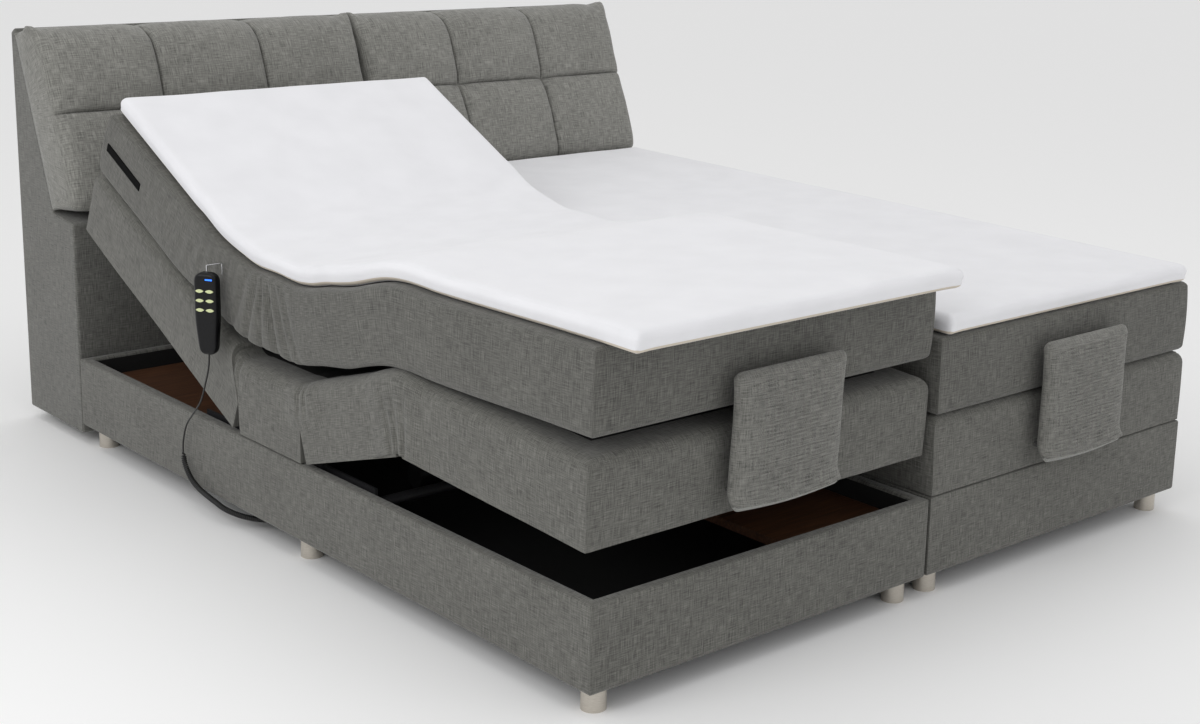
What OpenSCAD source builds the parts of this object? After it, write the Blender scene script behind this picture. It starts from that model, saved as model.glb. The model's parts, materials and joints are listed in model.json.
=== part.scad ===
// Motorised two-person bed: two adjustable units side by side, each with a lower box, a
// four-section motor base, a mattress and a topper, in front of one padded headboard.
// Millimetres. X runs across the bed, Y from the foot end to the headboard, Z up.
// The near unit is modelled raised and the far unit flat, which is how the bed is stored.

/* [Units] */
// Width of one unit
unit_w = 896; // [860:4:940]
// Gap between the two units
unit_gap = 8; // [4:2:12]
// Length of a lower box
box_len = 2000; // [2000:10:2060]

/* [Levels] */
// Height of the feet
foot_h = 50; // [40:5:55]
// Top of the lower box
box_top = 224; // [222:1:224]
// Underside of the upholstered sections
base_bottom = 226; // [226:1:228]
// Thickness of a section
base_t = 169; // [160:1:172]
// Thickness of a mattress
mattress_t = 165; // [140:5:180]
// Thickness of a topper
topper_t = 45; // [35:5:60]

/* [Sections] */
// Knee hinge, from the foot end
knee_y = 590; // [580:5:600]
// Thigh hinge, from the foot end
thigh_y = 965; // [960:5:970]
// Back hinge, from the foot end
back_y = 1220; // [1215:5:1225]
// Height of the hinge axes
hinge_z = 295; // [292:1:298]
// Length of the sections together
base_len = 1985; // [1960:5:1985]
// Full raise of the back section, in degrees
back_travel = 50; // [45:1:60]
// Full raise of the thigh section, in degrees
thigh_travel = 30; // [25:1:32]
// Degrees that the leg section drops back for each degree of the thigh section
leg_ratio = 1.143; // [1:0.001:1.15]

/* [Stored pose] */
// Back section of the near unit, in degrees
back_rest = 25.5; // [0:0.5:45]
// Thigh section of the near unit, in degrees
thigh_rest = 17.5; // [0:0.5:32]

/* [Upholstery] */
// Thickness of a section's side skirt
skirt = 22; // [18:1:24]
// Thickness of a section's top pad
pad_t = 80; // [70:5:80]
// Width of a mattress
mattress_w = 886; // [840:2:892]
// Width of a topper
topper_w = 850; // [820:5:880]
// How far the near topper has slid over the foot end
topper_slip = 78; // [0:2:90]
// Width of a foot-end mattress retainer
retainer_w = 285; // [240:5:320]
// Thickness of a foot-end mattress retainer
retainer_t = 38; // [30:2:44]

/* [Headboard] */
// Width of the headboard
head_w = 1800; // [1720:10:1900]
// Back plane of the headboard, from the foot end
head_back = 2305; // [2290:5:2340]
// Top of the headboard frame
head_top = 1012; // [980:2:1040]

/* [Handset] */
// Width of the handset
hand_w = 56; // [50:1:60]
// Height of the handset
hand_h = 185; // [170:5:200]
// Thickness of the handset
hand_t = 26; // [22:1:28]
// Diameter of the straight cable
cable_d = 5; // [4:0.5:6]
// Outer diameter of the curly cord
curl_d = 13; // [12:1:15]

/* [Hidden] */
$fn = 48;
// Middle of the whole bed's box in the working coordinates, which becomes the origin
mid_x = -30.85;
mid_y = 1115.64;

unit_x = (unit_w + unit_gap) / 2;
sides = [-1, 1];
near = -1;
far = 1;
base_top = base_bottom + base_t;
pad_bottom = base_top - pad_t;
layer_gap = 2;
mattress_bottom = base_top + layer_gap;
mattress_top = mattress_bottom + mattress_t;
topper_bottom = mattress_top + layer_gap;
topper_top = topper_bottom + topper_t;
topper_len = 1978;
mattress_len = 1982;

// Lower box
wall = 26;
lining_t = 3;
lining_z = foot_h + lining_t;
board_t = 18;
board_z = 158;
head_board_y = 1460;
corner_board = [300, 400];
foot_r = 24;
foot_inset = 46;
foot_ys = [45, 1000, 1955];
inner_half = unit_w / 2 - wall;

// Each section end is [y at the hinge height, way into the section, slope above, slope below].
// The slopes leave room for the sections to fold without meeting.
hinge_gap = 1;
fold_clear = 0.8;
seat_share_thigh = 8;
seat_share_back = 12;
knee_fold = (leg_ratio * thigh_travel + fold_clear) / 2;
leg_low = [0, 1, 0, 0];
leg_high = [knee_y - hinge_gap, -1, 0, knee_fold];
thigh_low = [knee_y + hinge_gap, 1, 0, knee_fold];
thigh_high = [thigh_y - hinge_gap, -1, thigh_travel + fold_clear - seat_share_thigh, 0];
seat_low = [thigh_y + hinge_gap, 1, seat_share_thigh, 0];
seat_high = [back_y - hinge_gap, -1, seat_share_back, 0];
back_low = [back_y + hinge_gap, 1, back_travel + fold_clear - seat_share_back, 0];
back_high = [base_len, -1, 0, 0];

// Hinge plates and studs, measured sideways from the middle of a unit
plate_in = 400;
plate_t = 6;
lug_in = 408;
lug_t = 10;
stud_out = 421;
stud_r = 8;
run_gap = 0.05;
lug_r = 17;
lug_len = 120;

// Lift mechanism
tube_r = 14;
tube_z = hinge_z - 45;
tube_out = 407;
back_arm = 300;
foot_arm = 250;
back_arm_flat = 8.2;
foot_arm_flat = 9.9;
back_lift_ratio = 0.94;
foot_lift_ratio = 0.96;
arm_x = 330;
arm_t = 8;
arm_w = 30;
roller_r = 20;
roller_w = 20;
roller_pin_r = 6;
lever = 70;
lever_x = 100;
cheek_t = 6;
cheek_w = 24;
cheek_gap = 18;
pin_r = 5.5;
eye_r = 10.2;
eye_out = 18;
eye_t = 16;
eye_neck = 14.7;
rod_r = 10;
rod_in = 45;
back_swing = back_lift_ratio * back_travel;
foot_swing = foot_lift_ratio * thigh_travel;
back_stroke = 2 * lever * sin(back_swing / 2);
foot_stroke = 2 * lever * sin(foot_swing / 2);
back_rod_z = tube_z - lever * (1 + cos(back_swing / 2)) / 2;
foot_rod_z = tube_z - lever * (1 + cos(foot_swing / 2)) / 2;

// Motors
motor_tube_r = 20;
motor_tube_len = 250;
mouth_gap = 37;
gearbox = [64, 85, 60];
can_r = 27;
can_len = 100;
bar_r = 12;
bar_out = 406;
bar_ys = [760, 1425];
bar_z = 184;
rail_low = 172;
rail_high = 222;

function rest_back(s) = s == near ? back_rest : 0;
function rest_thigh(s) = s == near ? thigh_rest : 0;
function edge(end, z) =
    end[0] + end[1] * (z > hinge_z ? (z - hinge_z) * tan(end[2]) : (hinge_z - z) * tan(end[3]));
function edge_points(end, z0, z1) =
    [for (z = z0 < hinge_z ? [z0, hinge_z, z1] : [z0, z1]) [edge(end, z), z]];
function reversed(list) = [for (i = [len(list) - 1:-1:0]) list[i]];

// ---- Placing ----
module place() translate([-mid_x, -mid_y, 0]) children();
module unit(s) place() translate([s * unit_x, 0, 0]) children();
module turned(y, z, angle) translate([0, y, z]) rotate([angle, 0, 0]) translate([0, -y, -z]) children();
module on_back(s) unit(s) turned(back_y, hinge_z, rest_back(s)) children();
module on_thigh(s) unit(s) turned(thigh_y, hinge_z, -rest_thigh(s)) children();
module on_leg(s) on_thigh(s) turned(knee_y, hinge_z, leg_ratio * rest_thigh(s)) children();
module along_x(x0, x1) translate([x0, 0, 0]) rotate([90, 0, 90]) linear_extrude(x1 - x0) children();
module both_sides() for (m = [0, 1]) mirror([m, 0, 0]) children();
module rod_x(x0, x1, y, z, r) translate([x0, y, z]) rotate([0, 90, 0]) cylinder(r = r, h = x1 - x0);
module rod_y(y0, y1, x, z, r) translate([x, y0, z]) rotate([-90, 0, 0]) cylinder(r = r, h = y1 - y0);
module block(low, high) translate(low) cube(high - low);

// ---- Soft layers and sections ----
module slab(low, high, z0, z1, w)
    along_x(-w / 2, w / 2)
        polygon(concat(edge_points(low, z0, z1), reversed(edge_points(high, z0, z1))));

// Upholstered section: a top pad with skirts, open below and at its hinges
module tray(low, high, wall_low, wall_high) {
    half = unit_w / 2 - skirt;
    difference() {
        slab(low, high, base_bottom, base_top, unit_w);
        block([-half, low[0] + (wall_low ? skirt : -skirt), base_bottom - 1],
              [half, high[0] - (wall_high ? skirt : -skirt), pad_bottom]);
    }
}

// Hinge lug under a section's pad; way is the direction in which the section lies
module lug_shape(y, way) {
    bite = 2;
    translate([y, hinge_z]) circle(lug_r);
    translate([min(y, y + way * lug_len), hinge_z - 12]) square([lug_len, 10 + lug_r]);
    translate([y + way * (way > 0 ? 32 : lug_len), hinge_z]) square([lug_len - 32, 20 + bite]);
}
module lugs(y, way)
    both_sides() difference() {
        along_x(lug_in, lug_in + lug_t) lug_shape(y, way);
        rod_x(lug_in - 1, lug_in + lug_t + 1, y, hinge_z, stud_r + run_gap);
    }

module back_tray(s) on_back(s) union() {
    tray(back_low, back_high, false, true);
    lugs(back_y, 1);
}
module thigh_tray(s) on_thigh(s) union() {
    tray(thigh_low, thigh_high, false, false);
    lugs(thigh_y, -1);
    both_sides() {
        along_x(plate_in, plate_in + plate_t) lug_shape(knee_y, 1);
        rod_x(plate_in, stud_out, knee_y, hinge_z, stud_r);
    }
}
module leg_tray(s) on_leg(s) union() {
    tray(leg_low, leg_high, true, false);
    lugs(knee_y, -1);
}

function soft_end(end, y) = [y, end[1], end[2], end[3]];
module mattress_part(low, high) slab(low, high, mattress_bottom, mattress_top, mattress_w);
module topper_part(low, high) slab(low, high, topper_bottom, topper_top, topper_w);

// ---- Lower boxes, feet and boards ----
module box(s) unit(s) difference() {
    block([-unit_w / 2, 0, foot_h], [unit_w / 2, box_len, box_top]);
    block([-inner_half, wall, foot_h - 1], [inner_half, box_len - wall, box_top + 1]);
}
module left_box() color([0.45, 0.45, 0.42]) box(near);
module right_box() color([0.45, 0.45, 0.42]) box(far);
module box_linings() color([0.06, 0.06, 0.06]) for (s = sides) unit(s)
    block([-inner_half, wall, foot_h], [inner_half, box_len - wall, lining_z]);
module box_boards() color([0.42, 0.26, 0.16]) for (s = sides) unit(s) {
    block([-inner_half, head_board_y, board_z], [inner_half, box_len - wall, board_z + board_t]);
    translate([s == near ? inner_half - corner_board[0] : -inner_half, wall, board_z])
        cube([corner_board[0], corner_board[1], board_t]);
}
module feet() color([0.75, 0.71, 0.66])
    for (s = sides, x = [-1, 1], y = foot_ys)
        unit(s) translate([x * (unit_w / 2 - foot_inset), y, 0]) cylinder(r = foot_r, h = foot_h);

// ---- Headboard ----
head_front = box_len + 2;
head_low = 28;
ledge_z = 562;
lean_y = 2112;
lean_z = 572;
cushion_gap = 1;
module headboard_frame() color([0.48, 0.48, 0.45]) place() along_x(-head_w / 2, head_w / 2)
    polygon([[head_front, head_low], [head_back, head_low], [head_back, head_top - 12],
             [head_back - 20, head_top], [lean_y, lean_z], [head_front, ledge_z]]);
module head_cushion(s) place()
    along_x(s == near ? -head_w / 2 : unit_gap / 2, s == near ? -unit_gap / 2 : head_w / 2)
        polygon([[lean_y - cushion_gap, lean_z + cushion_gap], [lean_y - 90, ledge_z + 20],
                 [head_front + 2, ledge_z + 78], [head_back - 160, head_top - 24],
                 [head_back - 115, head_top + 2], [head_back - 60, head_top + 10],
                 [head_back - 20 - cushion_gap, head_top + cushion_gap]]);
module headboard_cushion_left() color([0.50, 0.50, 0.47]) head_cushion(near);
module headboard_cushion_right() color([0.50, 0.50, 0.47]) head_cushion(far);

// ---- Fixed seat frame with its hinge studs and cross bars ----
module frame_plate_shape() {
    ear = 17;
    difference() {
        union() {
            translate([bar_ys[0] - 15, rail_low])
                square([bar_ys[1] - bar_ys[0] + 30, rail_high - rail_low]);
            translate([thigh_y - ear, rail_low]) square([back_y - thigh_y + 2 * ear, hinge_z - rail_low]);
            translate([thigh_y + 12, rail_low]) square([back_y - thigh_y - 24, pad_bottom - rail_low]);
            for (y = [thigh_y, back_y]) translate([y, hinge_z]) circle(ear);
        }
        for (y = [thigh_y, back_y]) translate([y, tube_z]) circle(tube_r + run_gap);
    }
}
module seat_frames() color([0.16, 0.16, 0.17]) for (s = sides) unit(s) {
    both_sides() {
        along_x(plate_in, plate_in + plate_t) frame_plate_shape();
        for (y = [thigh_y, back_y]) rod_x(plate_in, stud_out, y, hinge_z, stud_r);
    }
    for (y = bar_ys) rod_x(-bar_out, bar_out, y, bar_z, bar_r);
}

// ---- Lifts: torque tube, arms with rollers, and lever ----
module lift(y, way, arm, arm_angle, lever_angle, x_lever) {
    translate([0, y, tube_z]) {
        rod_x(-tube_out, tube_out, 0, 0, tube_r);
        rotate([way * arm_angle, 0, 0]) both_sides() {
            along_x(arm_x - arm_t / 2, arm_x + arm_t / 2) {
                translate([way > 0 ? 0 : -arm, -arm_w / 2]) square([arm, arm_w]);
                translate([way * arm, 0]) circle(arm_w / 2);
            }
            rod_x(arm_x, arm_x + 2 * roller_w, way * arm, 0, roller_pin_r);
            difference() {
                rod_x(arm_x + 8, arm_x + 8 + roller_w, way * arm, 0, roller_r);
                rod_x(arm_x + 7, arm_x + 9 + roller_w, way * arm, 0, roller_pin_r + run_gap);
            }
        }
        rotate([way * lever_angle, 0, 0]) {
            for (c = [-1, 1]) along_x(x_lever + c * (cheek_gap + cheek_t) / 2 - cheek_t / 2,
                                      x_lever + c * (cheek_gap + cheek_t) / 2 + cheek_t / 2) {
                translate([-cheek_w / 2, -lever]) square([cheek_w, lever]);
                translate([0, -lever]) circle(cheek_w / 2);
            }
            rod_x(x_lever - cheek_gap / 2 - cheek_t, x_lever + cheek_gap / 2 + cheek_t, 0, -lever, pin_r);
        }
    }
}
module back_lift(s) unit(s)
    lift(back_y, 1, back_arm, back_arm_flat + back_lift_ratio * rest_back(s),
         back_lift_ratio * rest_back(s) - back_swing / 2, -lever_x);
module foot_lift(s) unit(s)
    lift(thigh_y, -1, foot_arm, foot_arm_flat + foot_lift_ratio * rest_thigh(s),
         foot_lift_ratio * rest_thigh(s) - foot_swing / 2, lever_x);

// ---- Motors and their push rods; way is the direction in which the rod pushes ----
function back_pin_y(angle) = back_y - back_stroke / 2 + back_stroke * angle / back_travel;
function foot_pin_y(angle) = thigh_y + foot_stroke / 2 - foot_stroke * angle / thigh_travel;
module push_rod(y, z, x, way, stroke) translate([x, y, z]) mirror([0, way > 0 ? 0 : 1, 0]) {
    difference() {
        union() {
            rod_x(-eye_t / 2, eye_t / 2, 0, 0, eye_out);
            rod_y(-(mouth_gap + stroke + rod_in), -eye_neck, 0, 0, rod_r);
        }
        rod_x(-eye_t, eye_t, 0, 0, eye_r);
    }
}
module motor(y_pin, z, x, way, y_bar) {
    bore_len = 130;
    reach = (way > 0 ? y_pin - mouth_gap - y_bar : y_bar - y_pin - mouth_gap);
    translate([x, y_pin, z]) mirror([0, way > 0 ? 0 : 1, 0]) translate([0, -mouth_gap, 0]) {
        difference() {
            rod_y(-motor_tube_len, 0, 0, 0, motor_tube_r);
            rod_y(-bore_len, 1, 0, 0, rod_r + run_gap);
        }
        difference() {
            union() {
                block([-gearbox[0] / 2, -motor_tube_len - gearbox[1], -gearbox[2] / 2],
                      [gearbox[0] / 2, -motor_tube_len, gearbox[2] / 2]);
                block([-16, -reach - 18, -16], [16, -motor_tube_len, 16]);
            }
            rod_x(-20, 20, -reach, bar_z - z, bar_r + run_gap);
        }
        rod_x(way > 0 ? -gearbox[0] / 2 - can_len : gearbox[0] / 2, way > 0 ? -gearbox[0] / 2
              : gearbox[0] / 2 + can_len, -motor_tube_len - gearbox[1] / 2, 0, can_r);
    }
}
module back_motors() color([0.12, 0.12, 0.13]) for (s = sides) unit(s)
    motor(back_pin_y(0), back_rod_z, -lever_x, 1, bar_ys[0]);
module foot_motors() color([0.12, 0.12, 0.13]) for (s = sides) unit(s)
    motor(foot_pin_y(0), foot_rod_z, lever_x, -1, bar_ys[1]);
module back_rod(s) unit(s) push_rod(back_pin_y(rest_back(s)), back_rod_z, -lever_x, 1, back_stroke);
module foot_rod(s) unit(s) push_rod(foot_pin_y(rest_thigh(s)), foot_rod_z, lever_x, -1, foot_stroke);
module control_boxes() color([0.08, 0.08, 0.09]) for (s = sides) unit(s)
    block([-90, thigh_y + 45, pad_bottom - 50], [90, back_y - 45, pad_bottom]);

// ---- Seat: fixed section with its mattress and topper parts ----
module seat_sections() color([0.45, 0.45, 0.42]) for (s = sides) unit(s)
    tray(seat_low, seat_high, false, false);
module mattress_seats() color([0.44, 0.44, 0.41]) for (s = sides) unit(s)
    mattress_part(seat_low, seat_high);
module topper_seats() color([0.94, 0.94, 0.95]) for (s = sides) unit(s)
    topper_part(seat_low, seat_high);

// ---- Moving sections of the near unit ----
module left_back_section() color([0.45, 0.45, 0.42]) back_tray(near);
module left_thigh_section() color([0.45, 0.45, 0.42]) thigh_tray(near);
module left_leg_section() color([0.45, 0.45, 0.42]) leg_tray(near);
module left_mattress_back() color([0.44, 0.44, 0.41]) on_back(near)
    mattress_part(back_low, soft_end(back_high, mattress_len));
module left_mattress_thigh() color([0.44, 0.44, 0.41]) on_thigh(near) mattress_part(thigh_low, thigh_high);
module left_mattress_leg() color([0.44, 0.44, 0.41]) on_leg(near) mattress_part(leg_low, leg_high);
module left_topper_back() color([0.94, 0.94, 0.95]) on_back(near)
    topper_part(back_low, soft_end(back_high, topper_len));
module left_topper_thigh() color([0.94, 0.94, 0.95]) on_thigh(near) topper_part(thigh_low, thigh_high);
module left_topper_leg() color([0.94, 0.94, 0.95]) on_leg(near)
    topper_part(soft_end(leg_low, -topper_slip), leg_high);

// ---- Moving sections of the far unit ----
module right_back_section() color([0.45, 0.45, 0.42]) back_tray(far);
module right_thigh_section() color([0.45, 0.45, 0.42]) thigh_tray(far);
module right_leg_section() color([0.45, 0.45, 0.42]) leg_tray(far);
module right_mattress_back() color([0.44, 0.44, 0.41]) on_back(far)
    mattress_part(back_low, soft_end(back_high, mattress_len));
module right_mattress_thigh() color([0.44, 0.44, 0.41]) on_thigh(far) mattress_part(thigh_low, thigh_high);
module right_mattress_leg() color([0.44, 0.44, 0.41]) on_leg(far) mattress_part(leg_low, leg_high);
module right_topper_back() color([0.94, 0.94, 0.95]) on_back(far)
    topper_part(back_low, soft_end(back_high, topper_len));
module right_topper_thigh() color([0.94, 0.94, 0.95]) on_thigh(far) topper_part(thigh_low, thigh_high);
module right_topper_leg() color([0.94, 0.94, 0.95]) on_leg(far) topper_part(leg_low, leg_high);

// ---- Foot-end mattress retainers ----
bow_r = 6;
bow_x = 110;
bow_y = -41;
bow_low = 275;
bow_high = 490;
pad_low = 245;
pad_high = 515;
module retainer_bow(s) on_leg(s) color([0.30, 0.30, 0.31]) {
    both_sides() {
        rod_y(bow_y, 0, bow_x, bow_low, bow_r);
        translate([bow_x, bow_y, bow_low]) cylinder(r = bow_r, h = bow_high - bow_low);
        for (z = [bow_low, bow_high]) translate([bow_x, bow_y, z]) sphere(bow_r);
    }
    rod_x(-bow_x, bow_x, bow_y, bow_high, bow_r);
}
module retainer_pad(s) on_leg(s) color([0.46, 0.46, 0.43])
    block([-retainer_w / 2, bow_y - retainer_t / 2, pad_low],
          [retainer_w / 2, bow_y + retainer_t / 2, pad_high]);
module left_retainer_bow() retainer_bow(near);
module right_retainer_bow() retainer_bow(far);
module left_retainer_pad() retainer_pad(near);
module right_retainer_pad() retainer_pad(far);

module left_back_lift() color([0.16, 0.16, 0.17]) back_lift(near);
module right_back_lift() color([0.16, 0.16, 0.17]) back_lift(far);
module left_foot_lift() color([0.16, 0.16, 0.17]) foot_lift(near);
module right_foot_lift() color([0.16, 0.16, 0.17]) foot_lift(far);
module left_back_rod() color([0.70, 0.71, 0.72]) back_rod(near);
module right_back_rod() color([0.70, 0.71, 0.72]) back_rod(far);
module left_foot_rod() color([0.70, 0.71, 0.72]) foot_rod(near);
module right_foot_rod() color([0.70, 0.71, 0.72]) foot_rod(far);

// ---- Handset, hung beside the near unit ----
hand_pos = [-935, 1275, 493];
hand_turn = -55;
hand_corner = 14;
key_x = 11.5;
key_rows = [52, 31, 10];
key_len = 19;
key_r = 14;
key_h = 4.5;
key_proud = 1.5;
key_gap = 0.4;
module at_hand() place() translate(hand_pos) rotate([90, 0, hand_turn]) children();
module key_shape(grow = 0) {
    off = sqrt(key_r * key_r - key_len * key_len / 4);
    intersection() {
        translate([0, off]) circle(key_r + grow);
        translate([0, -off]) circle(key_r + grow);
    }
}
module handset_case() color([0.05, 0.05, 0.06]) at_hand() difference() {
    union() {
        for (x = [-1, 1], y = [-1, 1])
            translate([x * (hand_w / 2 - hand_corner), y * (hand_h / 2 - hand_corner), -hand_t / 2])
                cylinder(r = hand_corner, h = hand_t);
        block([-hand_w / 2, hand_corner - hand_h / 2, -hand_t / 2],
              [hand_w / 2, hand_h / 2 - hand_corner, hand_t / 2]);
        block([hand_corner - hand_w / 2, -hand_h / 2, -hand_t / 2],
              [hand_w / 2 - hand_corner, hand_h / 2, hand_t / 2]);
    }
    for (x = [-1, 1], y = key_rows)
        translate([x * key_x, y, hand_t / 2 - key_h]) linear_extrude(key_h + 1) key_shape(key_gap);
    block([2, 76, hand_t / 2 - 1], [18, 79, hand_t / 2 + 1]);
}
module handset_light() color([0.10, 0.35, 0.95]) at_hand()
    block([2, 76, hand_t / 2 - 1], [18, 79, hand_t / 2 + 0.3]);
module key(x, y) color([0.80, 0.82, 0.60]) at_hand()
    translate([x * key_x, y, hand_t / 2 - key_h + 1.2]) linear_extrude(key_h - 1.2 + key_proud) key_shape();
module key_back_up() key(-1, key_rows[0]);
module key_back_down() key(1, key_rows[0]);
module key_foot_up() key(-1, key_rows[1]);
module key_foot_down() key(1, key_rows[1]);
module key_both_up() key(-1, key_rows[2]);
module key_both_down() key(1, key_rows[2]);

hook_r = 1.3;
hook_rise = 14;
hook_end = -898.5;
module handset_hook() color([0.72, 0.72, 0.70]) place() {
    top = hand_pos[2] + hand_h / 2;
    translate([hand_pos[0], hand_pos[1], top]) cylinder(r = hook_r, h = hook_rise);
    rod_x(hand_pos[0], hook_end, hand_pos[1], top + hook_rise, hook_r);
    translate([hook_end, hand_pos[1], top - 10]) cylinder(r = hook_r, h = hook_rise + 10);
    for (x = [hand_pos[0], hook_end]) translate([x, hand_pos[1], top + hook_rise]) sphere(hook_r);
}

// ---- Cord: straight cable from the handset, then the curly part to the gland under the box ----
cable_route = [[-935, 1275, 400], [-935, 1280, 370], [-934, 1298, 330], [-930, 1330, 280],
               [-923, 1380, 238], [-917, 1425, 200], [-915, 1446, 160], [-915, 1450, 135]];
curl_route = [[-915, 1450, 135], [-915, 1445, 105], [-915, 1420, 76], [-915, 1385, 60],
              [-915, 1349, 53], [-914, 1310, 47], [-911, 1275, 40], [-898, 1240, 33],
              [-878, 1205, 29], [-858, 1175, 30], [-846, 1158, 36]];
gland_pos = [-846, 1158, 43];
steps = 4;
function blend_point(a, b, c, d, t) =
    0.5 * (2 * b + (c - a) * t + (2 * a - 5 * b + 4 * c - d) * t * t
           + (3 * b - a - 3 * c + d) * t * t * t);
function smooth(route) = [for (i = [0:len(route) - 2], k = [0:steps - 1])
    blend_point(route[max(i - 1, 0)], route[i], route[i + 1],
                route[min(i + 2, len(route) - 1)], k / steps), route[len(route) - 1]];
function unit_vector(v) = v / norm(v);
function heading(line, i) =
    unit_vector(line[min(i + 1, len(line) - 1)] - line[max(i - 1, 0)]);
module sweep(line, r, n) {
    rings = len(line);
    points = [for (i = [0:rings - 1]) let (t = heading(line, i), a = unit_vector(cross(t, [1, 0, 0])),
              b = cross(t, a)) for (k = [0:n - 1])
              line[i] + r * (cos(360 * k / n) * a + sin(360 * k / n) * b)];
    walls = [for (i = [0:rings - 2], k = [0:n - 1]) let (j = (k + 1) % n)
             [i * n + k, (i + 1) * n + k, (i + 1) * n + j, i * n + j]];
    ends = [[for (k = [0:n - 1]) k], [for (k = [n - 1:-1:0]) (rings - 1) * n + k]];
    polyhedron(points, concat(walls, ends));
}
module handset_cable() color([0.05, 0.05, 0.05]) place() sweep(smooth(cable_route), cable_d / 2, 8);
module handset_curly_cord() color([0.05, 0.05, 0.05]) place() sweep(smooth(curl_route), curl_d / 2, 10);
module cable_gland() color([0.05, 0.05, 0.05]) place() translate(gland_pos) {
    cylinder(r = 9, h = foot_h - gland_pos[2]);
}

headboard_frame();
headboard_cushion_left();
headboard_cushion_right();
left_box();
right_box();
box_linings();
box_boards();
feet();
seat_frames();
seat_sections();
mattress_seats();
topper_seats();
control_boxes();
back_motors();
foot_motors();
left_back_section();
left_thigh_section();
left_leg_section();
left_mattress_back();
left_mattress_thigh();
left_mattress_leg();
left_topper_back();
left_topper_thigh();
left_topper_leg();
left_retainer_bow();
left_retainer_pad();
left_back_lift();
left_foot_lift();
left_back_rod();
left_foot_rod();
right_back_section();
right_thigh_section();
right_leg_section();
right_mattress_back();
right_mattress_thigh();
right_mattress_leg();
right_topper_back();
right_topper_thigh();
right_topper_leg();
right_retainer_bow();
right_retainer_pad();
right_back_lift();
right_foot_lift();
right_back_rod();
right_foot_rod();
handset_case();
handset_light();
handset_hook();
key_back_up();
key_back_down();
key_foot_up();
key_foot_down();
key_both_up();
key_both_down();
handset_cable();
handset_curly_cord();
cable_gland();
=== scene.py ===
"""The looks of a motorised two-unit box-spring bed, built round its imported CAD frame.

Working coordinates are metres: x from the bed's middle plane, y from the foot end of the lower
boxes towards the headboard, z up from the floor. row() turns them into the frame's own. While
units() walks the two units, x counts from the middle of the one at hand.
"""

import json
import math

import bmesh
import bpy
import numpy as np
from mathutils import Matrix, Vector


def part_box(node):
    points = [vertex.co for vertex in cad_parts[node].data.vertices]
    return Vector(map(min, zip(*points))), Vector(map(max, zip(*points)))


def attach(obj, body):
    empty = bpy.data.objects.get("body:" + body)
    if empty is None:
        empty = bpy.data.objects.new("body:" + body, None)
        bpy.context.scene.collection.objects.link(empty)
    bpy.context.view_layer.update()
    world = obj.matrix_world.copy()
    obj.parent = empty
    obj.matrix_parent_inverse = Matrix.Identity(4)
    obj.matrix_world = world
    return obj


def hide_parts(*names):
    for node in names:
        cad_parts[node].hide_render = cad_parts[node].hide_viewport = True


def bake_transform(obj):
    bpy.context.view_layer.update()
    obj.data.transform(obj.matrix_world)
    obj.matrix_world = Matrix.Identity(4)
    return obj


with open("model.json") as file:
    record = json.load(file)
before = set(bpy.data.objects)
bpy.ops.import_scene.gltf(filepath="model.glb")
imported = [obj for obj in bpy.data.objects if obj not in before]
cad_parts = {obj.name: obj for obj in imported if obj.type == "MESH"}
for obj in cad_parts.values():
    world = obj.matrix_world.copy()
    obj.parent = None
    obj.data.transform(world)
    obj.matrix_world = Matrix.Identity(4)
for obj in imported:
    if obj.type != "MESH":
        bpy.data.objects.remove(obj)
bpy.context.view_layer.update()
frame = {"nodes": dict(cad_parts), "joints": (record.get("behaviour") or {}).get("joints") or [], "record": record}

# ---------------- sizes, from the frame
NEAR, FAR = "left", "right"
SIDE_SIGN = {NEAR: -1, FAR: 1}

head_low, head_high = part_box("headboard_frame")
box_low, box_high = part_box("right_box")
ORIGIN = Vector(((head_low.x + head_high.x) / 2, box_low.y, 0))
BOX_LEN = box_high.y - box_low.y
UNIT_W = box_high.x - box_low.x
UNIT_X = (box_low.x + box_high.x) / 2 - ORIGIN.x
FOOT_H = box_low.z
BOX_TOP = box_high.z

flat_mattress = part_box("mattress_seats")
flat_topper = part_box("topper_seats")
flat_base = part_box("seat_sections")
BASE_BOTTOM, BASE_TOP = flat_base[0].z, flat_base[1].z
MATTRESS_BOTTOM, MATTRESS_TOP = flat_mattress[0].z, flat_mattress[1].z
TOPPER_BOTTOM, TOPPER_TOP = flat_topper[0].z, flat_topper[1].z
MATTRESS_W = (flat_mattress[1].x - flat_mattress[0].x) - 2 * UNIT_X
TOPPER_W = (flat_topper[1].x - flat_topper[0].x) - 2 * UNIT_X
MATTRESS_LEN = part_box("right_mattress_back")[1].y - ORIGIN.y
TOPPER_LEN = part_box("right_topper_back")[1].y - ORIGIN.y
BASE_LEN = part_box("right_back_section")[1].y - ORIGIN.y

JOINT = {j["name"]: j for j in frame["joints"]}


def hinge(name):
    """(y, z) of a hinge at rest, in working coordinates."""
    _, y, z = JOINT[name]["pos_m"]
    return y - ORIGIN.y, z


def raised_by(name):
    """How far a hinge is turned from flat at rest, in radians."""
    return math.radians(-JOINT[name]["range_deg"][0])


BACK_Y, HINGE_Z = hinge("right_back_tilt")
THIGH_Y = hinge("right_thigh_tilt")[0]
KNEE_Y = hinge("right_leg_fold")[0]
LEG_RATIO = next(c["ratio"] for c in frame["record"]["behaviour"]["couplings"]
                 if c["joint"] == "right_leg_fold")
SEAT_MID = (BACK_Y + THIGH_Y) / 2
THIGH_MID = (THIGH_Y + KNEE_Y) / 2
TOPPER_SLIP = 0.078


def row(p):
    """A point in working coordinates as a point in the frame."""
    return Vector(p) + ORIGIN


def units():
    """Each side in turn, with x counted from the middle of its unit meanwhile."""
    middle = ORIGIN.x
    for side, sign in SIDE_SIGN.items():
        ORIGIN.x = middle + sign * UNIT_X
        yield side
    ORIGIN.x = middle


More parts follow.
